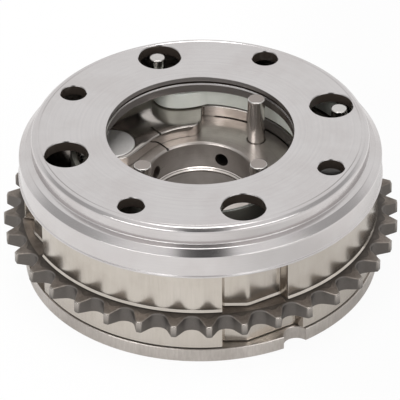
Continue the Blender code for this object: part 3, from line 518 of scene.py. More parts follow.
screwSteelLook = {"colour": "#3B3836", "shade": "#2C2A29", "stainColour": "#1E1C1B", "stain": 0.5,
                  "stainMm": 3.0, "roughness": (0.35, 0.5), "ringMm": 0.3, "bump": 0.3, "bumpMm": 0.03}
wireSteelLook = {"colour": "#A8A7A0", "shade": "#8E8C85", "stainColour": "#6A675F", "stain": 0.3,
                 "stainMm": 3.0, "roughness": (0.25, 0.35), "hairMm": 0.2, "stretch": 1.0,
                 "bump": 0.15, "bumpMm": 0.01}
sealPlasticLook = {"colour": "#332E2A", "shade": "#292420", "stainColour": "#1D1916", "stain": 0.3,
                   "stainMm": 3.0, "roughness": (0.45, 0.6), "grainMm": 0.3, "bump": 0.3, "bumpMm": 0.02}

coverSteel = turnedSteel("turnedCoverSteel", coverSteelLook)
rearSteel = groundSteel("brushedRearSteel", rearSteelLook)
drumSteel = groundSteel("polishedDrumSteel", drumSteelLook)
teethSteel = sinteredSteel("sinteredTeethSteel", teethLook)
plateSteel = turnedSteel("groundPlateSteel", plateSteelLook)
hubSteel = turnedSteel("turnedHubSteel", hubSteelLook)
sleeveSteel = turnedSteel("honedSleeveSteel", sleeveSteelLook)
bushSteel = turnedSteel("facedBushSteel", bushSteelLook)
stripSteel = groundSteel("rolledStripSteel", stripSteelLook)
pinSteel = groundSteel("centrelessGroundPinSteel", pinSteelLook)
postSteel = groundSteel("facedPostSteel", postSteelLook)
screwSteel = turnedSteel("blackenedScrewSteel", screwSteelLook)
wireSteel = groundSteel("drawnWireSteel", wireSteelLook)
sealPlastic = mouldedPlastic("mouldedSealPlastic", sealPlasticLook)
print("materials made")


# Front cover: a stepped cap with a groove in its bore and two rings of holes. The flat rolls off
# slowly towards its rim before the first step.
cover = {"bore": 22.8, "flat": 39.15, "step": 41.0, "ledge": 42.6, "outside": 44.1, "top": 37.0, "web": 32.4,
         "rim": 25.2, "seat": 39.5, "groove": (35.8, 35.12, 1.5), "largeHole": (33.6, 5.3, 17.2),
         "smallHole": (35.1, 3.2, 62.2), "lip": 0.28, "collar": 1.3, "relief": 2.0,
         "oilyTurn": 22.0, "oilySpan": 52.0, "segments": 360}
grooveTop, grooveFoot, grooveDeep = cover["groove"]
ledgeTop = cover["top"] - 4.1
coverProfile = softCorners([
    (cover["bore"] + 0.35, cover["web"], 0.0),
    (cover["bore"], cover["web"] + 0.35, 0.0),
    (cover["bore"], grooveFoot - 0.45, 0.1),
    (cover["bore"] + 0.2, grooveFoot, 0.05),
    (cover["bore"] + grooveDeep, grooveFoot, 0.0),
    (cover["bore"] + grooveDeep, grooveTop, 0.0),
    (cover["bore"], grooveTop, 0.03),
    (cover["bore"], cover["top"] - 0.06, 0.0),
    (cover["bore"] + 0.06, cover["top"], 0.0),
    (cover["flat"] - 0.13, cover["top"], 0.0),
    (cover["flat"], cover["top"] - 0.09, 0.0),
    (cover["flat"] + 0.13, cover["top"] - 0.01, 0.0),
    (cover["step"] - 1.0, cover["top"] - 0.07, 0.25),
    (cover["step"] - 0.12, cover["top"] - 0.82, 0.3),
    (cover["step"], cover["top"] - 1.3, 0.2),
    (cover["step"], ledgeTop + 0.12, 0.08),
    (cover["step"] + 0.12, ledgeTop, 0.05),
    (cover["ledge"] - 0.15, ledgeTop - 0.3, 0.08),
    (cover["ledge"] + 0.05, ledgeTop - 0.47, 0.08),
    (cover["outside"] - 0.05, ledgeTop - 1.75, 0.15),
    (cover["outside"], ledgeTop - 2.1, 0.1),
    (cover["outside"], cover["rim"] + 0.87, 0.08),
    (cover["outside"] + cover["lip"], cover["rim"] + 0.5, 0.06),
    (cover["outside"] + cover["lip"], cover["rim"] + 0.2, 0.08),
    (cover["outside"] - 0.15, cover["rim"], 0.08),
    (cover["seat"], cover["rim"], 0.0),
    (cover["seat"], cover["web"] + cover["relief"], 0.0),
    (cover["bore"] + cover["collar"], cover["web"] + cover["relief"], 0.0),
    (cover["bore"] + cover["collar"], cover["web"], 0.0),
])
frontCover = makePiece("frontCover", turnedMesh("frontCover", coverProfile, cover["segments"]))
holeTools = []
holeSpots = []
for k in range(4):
    for circle, size, phase in (cover["largeHole"], cover["smallHole"]):
        spotXY = polar(circle, phase + 90.0 * k)
        holeSpots.append((*spotXY, size))
        holeTools.append(turnedMesh("hole", [(0.0, cover["web"] - 1.0), (size, cover["web"] - 1.0),
                                             (size, cover["top"] - 0.18), (size + 0.68, cover["top"] + 0.5),
                                             (0.0, cover["top"] + 0.5)], 64, spotXY, "poles"))
carve(frontCover, joinMeshes("holes", holeTools))
smoothPiece(frontCover, coverSteel)
# Walls of the drilled holes and the groove are painted dark as shade: those faces lie below the top face
# and within a hair of a hole's radius, or behind the bore's wall between the groove's two sides.
# The bore's wall gets painted shade too, its right side more than its back, and the lip under the groove a little.
middles, away, turnOf = faceMiddles(frontCover)
spots = np.array(holeSpots)
nearHole = np.hypot(middles[:, None, 0] - spots[None, :, 0], middles[:, None, 1] - spots[None, :, 1]) - spots[None, :, 2]
inHole = (nearHole.min(axis=1) < 0.02) & (middles[:, 2] < cover["top"] - 0.17)
inGroove = (away > cover["bore"] + 0.02) & (away < cover["bore"] + grooveDeep + 0.01) & (
    np.abs(middles[:, 2] - (grooveTop + grooveFoot) / 2.0) < (grooveTop - grooveFoot) / 2.0 + 0.01)
onBore = (np.abs(away - cover["bore"]) < 0.02) & (middles[:, 2] < cover["top"] - 0.07)
onLip = (away < cover["bore"] + 0.25) & (np.abs(middles[:, 2] - grooveFoot + 0.22) < 0.3) & ~inGroove
rightSide = np.clip(1.0 - np.abs(turnOf - cover["oilyTurn"]) / cover["oilySpan"], 0.0, 1.0)
rightSide = rightSide * rightSide * (3.0 - 2.0 * rightSide)
boreShare = np.where(middles[:, 2] < grooveFoot - 0.4, 0.82, 0.64)
layShadeAndSoil(frontCover, np.maximum.reduce([1.0 * (inHole | inGroove), onBore * (boreShare + (0.98 - boreShare) * rightSide),
                                      0.3 * onLip]))
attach(frontCover, "housing")
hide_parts("front_cover")
print("front cover made")


# Drum: a round skin with a panel of two flats over each shoe, and four oil chambers inside.
drum = {"outside": 43.2, "flatReach": 40.5, "flatTurn": 30.0, "panelStart": 6.35, "startSpan": 1.1,
        "panelEnd": 27.0, "endSpan": 1.2, "runOn": 6.0, "bend": 2.2, "shoe": 16.5, "shoeSpan": 21.0,
        "shoeFace": 24.3, "chamber": 38.0, "seat": 39.5, "flare": 0.32, "flareHeight": 0.6}


def panelRadius(angles, runOn=0.0):
    # a flat at distance d and direction f has radius d / cos(a - f); the panel is the smaller of
    # two such flats, thirty degrees apart, softened where they meet; a ramp leads into it and a
    # steeper one out of it, and the last panel may run on further than the others
    offset = np.mod(angles, 90.0)
    first = drum["flatReach"] / np.cos(np.radians(offset))
    second = drum["flatReach"] / np.cos(np.radians(offset - drum["flatTurn"]))
    soft = 0.05 * drum["bend"]
    flats = -soft * np.log(np.exp(-first / soft) + np.exp(-second / soft))
    endAt = drum["panelEnd"] + np.where(np.mod(angles, 360.0) >= 270.0, runOn, 0.0)
    leave = np.clip((offset - endAt) / drum["endSpan"], 0.0, 1.0)
    leave = leave * leave * (3.0 - 2.0 * leave)
    inside = flats + (drum["outside"] - flats) * leave
    start = np.clip((offset - drum["panelStart"]) / drum["startSpan"], 0.0, 1.0)
    return drum["outside"] + (inside - drum["outside"]) * start


def chamberRadius(angles):
    # near the hub within half a shoe of a shoe's middle, at the chamber wall elsewhere
    away = np.abs(np.mod(angles - drum["shoe"] + 45.0, 90.0) - 45.0)
    return np.where(away < drum["shoeSpan"] / 2.0, drum["shoeFace"], drum["chamber"])


quarterMarks = np.concatenate([
    np.linspace(0.0, 6.2, 6), np.linspace(6.3, 7.5, 13), np.linspace(8.0, 26.5, 38), np.linspace(26.8, 28.4, 17),
    np.linspace(29.5, 32.5, 4), np.linspace(32.8, 34.4, 17), np.linspace(35.0, 89.0, 55),
    drum["shoe"] + drum["shoeSpan"] / 2.0 + np.array([-0.01, 0.01]),
    drum["shoe"] - drum["shoeSpan"] / 2.0 + np.array([-0.01, 0.01]),
])
drumAngles = np.unique(np.round(np.concatenate([quarterMarks + 90.0 * k for k in range(4)]), 4))
panel = panelRadius(drumAngles)
rearPanel = panelRadius(drumAngles, drum["runOn"])
chamber = chamberRadius(drumAngles)


def screwHoles(low, high):
    return [turnedMesh("hole", [(0.0, low), (2.8, low), (2.8, high), (0.0, high)], 32,
                       polar(33.0, 16.5 + 90.0 * k), "poles") for k in range(4)]


# The front half's foot flares out a little, polished bright where it meets the sprocket.
flare = drum["flare"]
foot = 14.5
frontLoops = [(chamber, foot), (panel + flare - 0.1, foot), (panel + flare, foot + 0.1),
              (panel + 0.9 * flare, foot + 0.1 + 0.12 * drum["flareHeight"]),
              (panel + 0.12 * flare, foot + 0.1 + 0.88 * drum["flareHeight"]),
              (panel, foot + 0.1 + 1.1 * drum["flareHeight"]),
              (panel, 24.9), (drum["seat"], 24.9), (drum["seat"], 24.4), (chamber, 24.4)]
frontDrum = makePiece("frontDrum", gridMesh("frontDrum", [ring(r, z, drumAngles) for r, z in frontLoops]))
carve(frontDrum, joinMeshes("holes", screwHoles(14.0, 22.9)))
smoothPiece(frontDrum, drumSteel)
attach(frontDrum, "housing")
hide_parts("front_drum")

rearLoops = [(chamber, 3.8), (rearPanel - 0.15, 3.8), (rearPanel, 3.95), (rearPanel, 9.85), (rearPanel - 0.15, 10.0),
             (chamber, 10.0)]
rearDrum = makePiece("rearDrum", gridMesh("rearDrum", [ring(r, z, drumAngles) for r, z in rearLoops]))
carve(rearDrum, joinMeshes("holes", screwHoles(3.0, 11.0)))
smoothPiece(rearDrum, drumSteel)
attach(rearDrum, "housing")
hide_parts("rear_drum")
print("drum made")


# Sprocket: thirty-six chain teeth, thinned towards narrow tips, with straight flanks and round
# chain seats between them.
sprocket = {"teeth": 36, "tip": 48.42, "gullet": 3.8, "seat": 2.4, "tipWidth": 1.2, "phase": 2.0, "taper": 0.525,
            "chamfer": 0.24, "low": 10.3, "top": 14.4, "plateau": 43.9}
rootAt = sprocket["tip"] - sprocket["gullet"]
seatAt = rootAt + sprocket["seat"]
toothPitch = 360.0 / sprocket["teeth"]
halfTip = math.degrees(sprocket["tipWidth"] / 2.0 / sprocket["tip"])
tipAcross = sprocket["tip"] * math.sin(math.radians(toothPitch / 2.0 - halfTip))
tipAbove = sprocket["tip"] * math.cos(math.radians(toothPitch / 2.0 - halfTip)) - seatAt
flankLean = math.acos(sprocket["seat"] / math.hypot(tipAcross, tipAbove)) - math.atan2(tipAbove, tipAcross)
touchTurn = math.atan2(sprocket["seat"] * math.cos(flankLean), seatAt - sprocket["seat"] * math.sin(flankLean))


def toothRadius(angles):
    # t is the angle from the middle of a gullet. Near it the outline is the seat's circle, whose
    # radius is c cos t - sqrt(s^2 - c^2 sin^2 t); beyond the touching point it is the flank, a line
    # at distance d from the axis; the tip's circle caps it
    turn = np.radians(np.abs(np.mod(angles - sprocket["phase"], toothPitch) - toothPitch / 2.0))
    under = np.maximum(sprocket["seat"] ** 2 - (seatAt * np.sin(turn)) ** 2, 0.0)
    seatLine = seatAt * np.cos(turn) - np.sqrt(under)
    flankLine = (seatAt * math.sin(flankLean) - sprocket["seat"]) / np.sin(flankLean - turn)
    return np.minimum(np.where(turn < touchTurn, seatLine, flankLine), sprocket["tip"])


def shrunk(radiusOf, angles, amount):
    # the outline moved inwards by a distance: at each angle, the least of the outline's radius
    # nearby less the height of a circle of that distance
    shift = np.linspace(-1.0, 1.0, 25)
    spread = np.degrees(amount / sprocket["tip"])
    nearby = radiusOf(angles[:, None] + shift[None, :] * spread)
    return (nearby - amount * np.sqrt(1.0 - shift ** 2)[None, :]).min(axis=1)


def thinned(radius, start, sign):
    # height of a tooth's face: it moves in by the taper on the way from the gullet's floor to the tip
    return start + sign * sprocket["taper"] * np.clip((radius - rootAt) / sprocket["gullet"], 0.0, 1.0)


tipTurn = halfTip
toothMarks = np.concatenate([np.linspace(-tipTurn, tipTurn, 5), tipTurn + np.array([0.12, 0.35, 0.7, 1.1, 1.5]),
                             np.linspace(2.5, 7.5, 21), toothPitch - tipTurn - np.array([1.5, 1.1, 0.7, 0.35, 0.12])])
toothAngles = np.concatenate([toothMarks + toothPitch * k + sprocket["phase"] for k in range(sprocket["teeth"])])
shoeMarks = np.concatenate([[drum["shoe"] + s * drum["shoeSpan"] / 2.0 + d + 90.0 * k
                             for s in (-1, 1) for d in (-0.01, 0.01)] for k in range(4)])
toothAngles = np.unique(np.round(np.mod(np.concatenate([toothAngles, shoeMarks]), 360.0), 4))
fullTeeth = toothRadius(toothAngles)
mostTeeth = shrunk(toothRadius, toothAngles, 0.3 * sprocket["chamfer"])
smallTeeth = shrunk(toothRadius, toothAngles, sprocket["chamfer"])
toothChamber = chamberRadius(toothAngles)
cham = sprocket["chamfer"]
plateau = np.full(toothAngles.shape, sprocket["plateau"])
topLoops = []
for share in (0.0, 0.06, 0.35, 0.65):
    inward = smallTeeth + (plateau - smallTeeth) * share
    topLoops.append((inward, thinned(inward, sprocket["top"], -1.0)))
lowLoops = [(inward, sprocket["low"] + sprocket["top"] - height) for inward, height in topLoops]
wallLow = thinned(fullTeeth, sprocket["low"], 1.0)
wallTop = thinned(fullTeeth, sprocket["top"], -1.0)
sprocketLoops = [(toothChamber, sprocket["low"]), (plateau, sprocket["low"]), *lowLoops[::-1],
                 (mostTeeth, wallLow + 0.3 * cham), (fullTeeth, wallLow + cham), (fullTeeth, wallTop - cham),
                 (mostTeeth, wallTop - 0.3 * cham), *topLoops, (plateau, sprocket["top"]),
                 (toothChamber, sprocket["top"])]
sprocketMesh = gridMesh("chainTeeth", [ring(radius, height, toothAngles) for radius, height in sprocketLoops])
chainTeeth = makePiece("chainTeeth", sprocketMesh)
# The tips are painted bright, partly as chain wear and partly as a painted highlight; the pressed walls between the
# faces are a shade lighter.
places = np.empty(len(sprocketMesh.vertices) * 3)
sprocketMesh.vertices.foreach_get("co", places)
places = places.reshape(-1, 3) / mm
away = np.hypot(places[:, 0], places[:, 1])
turnOf = np.degrees(np.arctan2(places[:, 1], places[:, 0]))
onTip = np.clip((away - sprocket["tip"] + 0.62) / 0.5, 0.0, 1.0)
# painted highlight: the tips grow brighter towards their top
onTip = onTip * np.clip((places[:, 2] - 11.2) / 2.2, 0.35, 1.0)
smallHere = np.interp(np.mod(turnOf, 360.0), toothAngles, smallTeeth, period=360.0)
# the top face's rims get a little of it too, as wear and painted highlight
onTip = np.maximum(onTip, 0.25 * (away > smallHere - 0.05))
rubbedAndHighlit = sprocketMesh.attributes.new("rubbedAndHighlit", "FLOAT", "POINT")
rubbedAndHighlit.data.foreach_set("value", onTip.astype(np.float32))
onWall = (away > toothRadius(turnOf) - 0.5 * cham).astype(np.float32)
walls = sprocketMesh.attributes.new("walls", "FLOAT", "POINT")
walls.data.foreach_set("value", onWall)
# the sprocket's face is painted darker and browner along the drum's foot
middles, away, turnOf = faceMiddles(chainTeeth)
onFace = (middles[:, 2] > sprocket["top"] - 0.6) & (away > drum["flatReach"] - 1.0)
layShadeAndSoil(chainTeeth, onFace * np.clip((45.7 - away) / 1.5, 0.0, 0.85))
smoothPiece(chainTeeth, teethSteel, 38.0)
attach(chainTeeth, "housing")
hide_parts("sprocket")
print("sprocket made")


# Rear plate: a turned flange with a round notch in its rim and four countersinks.
rearPlate = {"outside": 43.6, "bore": 17.0, "thick": 3.6, "notchRadius": 3.2, "notchCircle": 44.3,
             "notchTurn": 300.6, "edge": 0.18}
rearEdge = rearPlate["edge"]
rearProfile = softCorners([
    (rearPlate["bore"], 0.0, 0.0), (rearPlate["outside"] - rearEdge, 0.0, 0.05),
    (rearPlate["outside"], rearEdge, 0.05), (rearPlate["outside"], rearPlate["thick"] - rearEdge, 0.05),
    (rearPlate["outside"] - rearEdge, rearPlate["thick"], 0.05), (rearPlate["bore"], rearPlate["thick"], 0.0)])
rearFlange = makePiece("rearFlange", turnedMesh("rearFlange", rearProfile, 360))
notchSize = rearPlate["notchRadius"]
sinkTools = [turnedMesh("notch", [(0.0, -1.0), (notchSize + 1.15, -1.0), (notchSize, 0.15), (notchSize, 3.45),
                                  (notchSize + 1.15, 4.6), (0.0, 4.6)], 72,
                        polar(rearPlate["notchCircle"], rearPlate["notchTurn"]), "poles")]
for k in range(4):
    sinkTools.append(turnedMesh("sink", [(0.0, -1.0), (6.47, -1.0), (2.8, 2.67), (2.8, 4.6), (0.0, 4.6)], 48,
                                polar(33.0, 16.5 + 90.0 * k), "poles"))
carve(rearFlange, joinMeshes("sinks", sinkTools))
smoothPiece(rearFlange, rearSteel)
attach(rearFlange, "housing")
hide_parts("rear_plate")

# Clamping screws: countersunk heads with a hexagon socket, in the rear plate's sinks.
screw = {"head": 4.7, "shank": 2.5, "base": 0.35, "length": 22.5, "key": 1.5, "keyDeep": 1.5}
screwAngles = np.arange(48) * 7.5
hexagon = screw["key"] / np.cos(np.radians(np.mod(screwAngles + 30.0, 60.0) - 30.0))
for k in range(4):
    spotXY = polar(33.0, 16.5 + 90.0 * k)
    loops = [(0.0, screw["base"] + screw["keyDeep"]), (hexagon, screw["base"] + screw["keyDeep"]),
             (hexagon, screw["base"] + 0.12), (hexagon + 0.12, screw["base"]), (screw["head"] - 0.15, screw["base"]),
             (screw["head"] - 0.02, screw["base"] + 0.06), (screw["shank"], screw["base"] + 2.2),
             (screw["shank"], screw["length"] - 0.4), (screw["shank"] - 0.4, screw["length"]), (0.0, screw["length"])]
    clampScrew = makePiece("clampScrew" + str(k + 1), gridMesh(
        "clampScrew", [ring(radius, height, screwAngles, spotXY) for radius, height in loops], "poles"))
    smoothPiece(clampScrew, screwSteel)
    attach(clampScrew, "housing")
    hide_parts("clamp_screw_" + str(k + 1))
print("rear plate and screws made")


# Seal plate: keyhole opening with a block that reaches in over the lock pin, and the bush in it.
sealPlate = {"outside": 39.2, "opening": 24.3, "low": 24.5, "top": 27.5, "blockIn": 15.5, "lockAt": (23.4, 159.5),
             "bush": 5.9, "rim": 0.75}
lockX, lockY = polar(*sealPlate["lockAt"])
rimRadius = sealPlate["bush"] + 0.3 + sealPlate["rim"]
wideArc = ring(sealPlate["opening"], 0.0, np.linspace(176.1, 447.3, 190))[:, :2]
cornerTurns = [(23.95, 88.05), (23.6, 88.3), (23.0, 88.45), (20.4, 88.7), (18.6, 88.9), (17.6, 89.4), (16.9, 90.3),
               (16.3, 91.9), (15.9, 94.0), (15.62, 96.5)]
cornerLine = np.array([polar(radius, turn) for radius, turn in cornerTurns])
innerArc = ring(sealPlate["blockIn"], 0.0, np.linspace(99.0, 138.0, 28))[:, :2]
bushTurns = np.linspace(-20.0, -89.0, 24) + sealPlate["lockAt"][1] - 180.0
bushArc = ring(rimRadius, 0.0, bushTurns, (lockX, lockY))[:, :2]
keyhole = np.concatenate([wideArc, cornerLine, innerArc, bushArc])
keyhole = keyhole[np.concatenate([[True], np.linalg.norm(np.diff(keyhole, axis=0), axis=1) > 0.05])]
run = np.roll(keyhole, -1, axis=0) - np.roll(keyhole, 1, axis=0)
run = run / np.linalg.norm(run, axis=1, keepdims=True)
outOfHole = np.column_stack([run[:, 1], -run[:, 0]])
# The opening's edge is broken: the tool widens by a fifth of a millimetre above the plate's face.
keyLoops = [np.column_stack([keyhole + spread * outOfHole, np.full(len(keyhole), height)])
            for spread, height in ((0.0, sealPlate["low"] - 1.0), (0.0, sealPlate["top"] - 0.34),
                                   (0.04, sealPlate["top"] - 0.25), (0.25, sealPlate["top"] - 0.04),
                                   (0.34, sealPlate["top"]), (0.6, sealPlate["top"] + 0.3))]
sealProfile = [(0.0, sealPlate["low"]), (sealPlate["outside"], sealPlate["low"]),
               (sealPlate["outside"], sealPlate["top"] - 0.3), (sealPlate["outside"] - 0.3, sealPlate["top"]),
               (0.0, sealPlate["top"])]
innerPlate = makePiece("innerPlate", turnedMesh("innerPlate", sealProfile, 240, (0.0, 0.0), "poles"))
carve(innerPlate, gridMesh("keyhole", keyLoops, "caps"))
plateTools = [turnedMesh("bushHole", [(0.0, 23.5), (6.05, 23.5), (6.05, 28.5), (0.0, 28.5)], 72, (lockX, lockY), "poles")]
for k in range(2):
    plateTools.append(turnedMesh("pinHole", [(0.0, 23.5), (2.3, 23.5), (2.3, 28.5), (0.0, 28.5)], 40,
                                 polar(35.7, 17.2 + 90.0 * k), "poles"))
plateTools.append(boxMesh("scribe", 129.0, 14.0, 19.4, 27.15, 28.3, 0.5))
carve(innerPlate, joinMeshes("plateCuts", plateTools))
# The scribe, the opening's right wall and the outer face on the right, under the cover, are painted dark as shade.
middles, away, turnOf = faceMiddles(innerPlate)
besideScribe = np.abs(away * np.sin(np.radians(turnOf - 129.0)))
inScribe = (besideScribe < 0.3) & (middles[:, 2] > 27.1) & (middles[:, 2] < sealPlate["top"] - 0.02) & (away < 19.5)
onWall = (away < sealPlate["opening"] + 0.5) & (away > sealPlate["opening"] - 0.1) & (turnOf > -60.0) & (turnOf < 62.0)
underHole = (away > 27.0) & (turnOf > -50.0) & (turnOf < 15.0)
layShadeAndSoil(innerPlate, np.maximum.reduce([1.0 * (inScribe & (np.abs(turnOf - 129.0) < 5.0)), 0.8 * onWall,
                                      0.8 * underHole]))
smoothPiece(innerPlate, plateSteel)
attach(innerPlate, "housing")
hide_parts("seal_plate")

bushProfile = softCorners([
    (4.0, 26.7, 0.0), (4.0, 24.7, 0.1), (5.9, 24.7, 0.1), (5.9, 27.4, 0.1), (5.6, 27.62, 0.15)])
bushProfile = np.concatenate([[(0.0, 26.7)], bushProfile, [(3.0, 27.68), (0.0, 27.71)]])
lockBush = makePiece("lockBush", turnedMesh("lockBush", bushProfile, 96, (lockX, lockY), "poles"))
smoothPiece(lockBush, bushSteel)
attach(lockBush, "housing")
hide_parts("lock_bush")
print("seal plate and lock bush made")


# Spiral spring: flat strip on edge. Its radius follows a few measured turns and angles, joined
# smoothly; the section is a rounded bar carried along that line.
spring = {"thick": 1.3, "low": 27.8, "top": 32.1, "round": 0.3}
springStops = np.array([
    (112.6, 29.8), (112.5, 28.2), (112.0, 26.8), (110.6, 25.6), (108.2, 24.6), (105.0, 23.9), (101.0, 23.5),
    (96.5, 23.5), (91.5, 23.9), (86.0, 24.95), (60.0, 24.95), (10.0, 25.5), (-72.0, 27.41), (-150.0, 29.63),
    (-185.0, 31.19), (-215.0, 32.2), (-252.8, 32.75), (-290.0, 34.19), (-318.0, 36.6), (-330.0, 37.92),
    (-338.0, 38.5), (-347.0, 38.5), (-349.6, 37.9), (-350.6, 36.9)])
rough = np.array([polar(radius, turn) for turn, radius in springStops])
turnsFine = np.concatenate([np.linspace(86.0, -347.0, 420)])
radiiFine = np.interp(-turnsFine, -springStops[:, 0], springStops[:, 1])
weights = np.hanning(25) / np.hanning(25).sum()
padded = np.concatenate([np.full(12, radiiFine[0]), radiiFine, np.full(12, radiiFine[-1])])
radiiFine = np.convolve(padded, weights, "valid")
middle = ring(radiiFine, 0.0, turnsFine)[:, :2]


def densify(points, count):
    # a smooth line through given points: each coordinate against the length run so far, with a
    # short running average
    length = np.concatenate([[0.0], np.cumsum(np.linalg.norm(np.diff(points, axis=0), axis=1))])
    marks = np.linspace(0.0, length[-1], count)
    line = np.column_stack([np.interp(marks, length, points[:, 0]), np.interp(marks, length, points[:, 1])])
    kernel = np.ones(5) / 5.0
    ends = np.concatenate([np.repeat(line[:1], 2, axis=0), line, np.repeat(line[-1:], 2, axis=0)])
    soft = np.column_stack([np.convolve(ends[:, 0], kernel, "valid"), np.convolve(ends[:, 1], kernel, "valid")])
    soft[0] = line[0]
    soft[-1] = line[-1]
    return soft


innerHook = densify(rough[:10], 60)[:-1]
outerHook = densify(rough[21:], 10)[1:]
springLine = np.concatenate([innerHook, middle, outerHook])
springRun = np.gradient(springLine, axis=0)
springRun = springRun / np.linalg.norm(springRun, axis=1, keepdims=True)
springSide = np.column_stack([-springRun[:, 1], springRun[:, 0]])
half = spring["thick"] / 2.0
soft = spring["round"]
section = [(-half, spring["low"] + soft), (-half + 0.3 * soft, spring["low"] + 0.3 * soft), (-half + soft, spring["low"]),
           (half - soft, spring["low"]), (half - 0.3 * soft, spring["low"] + 0.3 * soft), (half, spring["low"] + soft),
           (half, spring["top"] - soft), (half - 0.3 * soft, spring["top"] - 0.3 * soft), (half - soft, spring["top"]),
           (-half + soft, spring["top"]), (-half + 0.3 * soft, spring["top"] - 0.3 * soft), (-half, spring["top"] - soft)]
section = np.array(section)
springPoints = springLine[:, None, :] + section[None, :, 0:1] * springSide[:, None, :]
springHeights = np.broadcast_to(section[None, :, 1:2], (len(springLine), len(section), 1))
spiralSpring = makePiece("spiralSpring", gridMesh(
    "spiralSpring", np.concatenate([springPoints, springHeights], axis=-1), "caps"))
# The strip's outer side is painted dark as shade, and on the left so is all of it.
middles, away, turnOf = faceMiddles(spiralSpring)
facing = np.empty(len(spiralSpring.data.polygons) * 3)
spiralSpring.data.polygons.foreach_get("normal", facing)
outward = (middles[:, :2] * facing.reshape(-1, 3)[:, :2]).sum(axis=1) / away
layShadeAndSoil(spiralSpring, 0.85 * ((outward > 0.3) | (np.abs(turnOf) > 160.0) | (turnOf < -120.0)))
smoothPiece(spiralSpring, stripSteel, 40.0)
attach(spiralSpring, "housing")
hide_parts("spiral_spring")


def pinProfile(radius, low, top, edgeSize):
    # a rod with a chamfered and slightly sunk, turned end
    return [(0.0, low), (radius - 0.2, low), (radius, low + 0.2), (radius, top - edgeSize - 0.04),
            (radius - 0.06, top - edgeSize + 0.06), (radius - edgeSize, top - 0.02), (radius - edgeSize - 0.06, top),
            (radius * 0.62, top), (radius * 0.55, top - 0.03), (radius * 0.2, top - 0.04), (0.0, top - 0.04)]


for k in range(2):
    post = makePiece("springPost" + str(k + 1), turnedMesh(
        "springPost", pinProfile(2.0, 24.7, 35.7, 0.2), 56, polar(35.7, 17.2 + 90.0 * k), "poles"))
    smoothPiece(post, postSteel)
    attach(post, "housing")
    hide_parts("spring_pin_" + str(k + 1))
print("spiral spring and posts made")


# Rotor: hub and vanes. Only the hub's face and bore show; the vanes run in the oil chambers.
rotor = {"hub": 24.0, "vane": 37.4, "low": 3.9, "top": 24.4, "bore": 12.5, "lead": 0.4, "stepAt": 17.26,
         "sleeveSeat": 14.0, "nose": 16.0, "noseAt": 7.9, "vanes": ((95.3, 14.0), (185.3, 37.6), (275.3, 14.0),
         (5.3, 14.0)), "slot": 1.2, "slotDeep": 2.2}


def hubRadius(angles):
    # the vane radius within a vane's span, less the seal slot at its middle; the hub elsewhere
    radius = np.full(angles.shape, rotor["hub"])
    for end, span in rotor["vanes"]:
        away = np.abs(np.mod(angles - (end - span / 2.0) + 180.0, 360.0) - 180.0)
        radius = np.where(away < span / 2.0, rotor["vane"], radius)
        radius = np.where(away < math.degrees(rotor["slot"] / rotor["vane"]), rotor["vane"] - rotor["slotDeep"], radius)
    return radius


jumps = []
for end, span in rotor["vanes"]:
    slotHalf = math.degrees(rotor["slot"] / rotor["vane"])
    jumps += [end, end - span, end - span / 2.0 - slotHalf, end - span / 2.0 + slotHalf]
jumps = np.array(jumps)
rotorAngles = np.unique(np.round(np.mod(np.concatenate([np.arange(0.0, 360.0, 1.5), jumps - 0.01, jumps + 0.01]),
                                        360.0), 4))
hubLine = hubRadius(rotorAngles)
leadIn = rotor["lead"]
rotorLoops = [
    (hubLine, rotor["low"]), (hubLine, rotor["top"] - 0.08), (hubLine - 0.08, rotor["top"]),
    (rotor["bore"] + leadIn + 0.06, rotor["top"]), (rotor["bore"] + leadIn, rotor["top"] - 0.04),
    (rotor["bore"] + 0.04, rotor["top"] - leadIn), (rotor["bore"], rotor["top"] - leadIn - 0.06),
    (rotor["bore"], rotor["stepAt"]), (rotor["sleeveSeat"], rotor["stepAt"]), (rotor["sleeveSeat"], rotor["noseAt"]),
    (rotor["nose"], rotor["noseAt"]), (rotor["nose"], rotor["low"] + 0.5), (rotor["nose"] + 0.5, rotor["low"])]
vanedRotor = makePiece("vanedRotor", gridMesh("vanedRotor", [ring(r, z, rotorAngles) for r, z in rotorLoops]))
pinTools = []
for turn in (45.0, 225.0, 315.0):
    pinTools.append(turnedMesh("pinHole", [(0.0, 14.4), (2.3, 14.4), (2.3, 24.25), (3.2, 25.15), (0.0, 25.15)], 56,
                               polar(19.6, turn), "poles"))
pinTools.append(turnedMesh("lockBore", [(0.0, 2.9), (1.2, 2.9), (1.2, 5.9), (4.0, 5.9), (4.0, 25.4), (0.0, 25.4)], 56,
                           (lockX, lockY), "poles"))
pinTools.append(boxMesh("scribe", 129.0, 12.0, 19.2, 24.1, 25.1, 0.5))
carve(vanedRotor, joinMeshes("rotorCuts", pinTools))
oilTools = []
for turn, reach in ((65.0, 25.0), (151.0, 17.6), (245.0, 25.0), (331.0, 25.0)):
    oilTools.append(rodMesh("oilHole", (*polar(11.0, turn), 20.0), (*polar(reach, turn), 20.0), 1.75))
carve(vanedRotor, joinMeshes("oilHoles", oilTools))
middles, away, turnOf = faceMiddles(vanedRotor)
besideScribe = np.abs(away * np.sin(np.radians(turnOf - 129.0)))
inScribe = (besideScribe < 0.3) & (middles[:, 2] > 24.05) & (middles[:, 2] < rotor["top"] - 0.01)
inBore = (away < rotor["bore"] + 0.02) & (middles[:, 2] < rotor["top"] - rotor["lead"])
# painted shade in the scribe and, lightly, inside the bore
layShadeAndSoil(vanedRotor, np.maximum(1.0 * (inScribe & (np.abs(turnOf - 129.0) < 5.0) & (away < 19.5)), 0.2 * inBore))
smoothPiece(vanedRotor, hubSteel)
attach(vanedRotor, "rotor")
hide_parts("rotor")

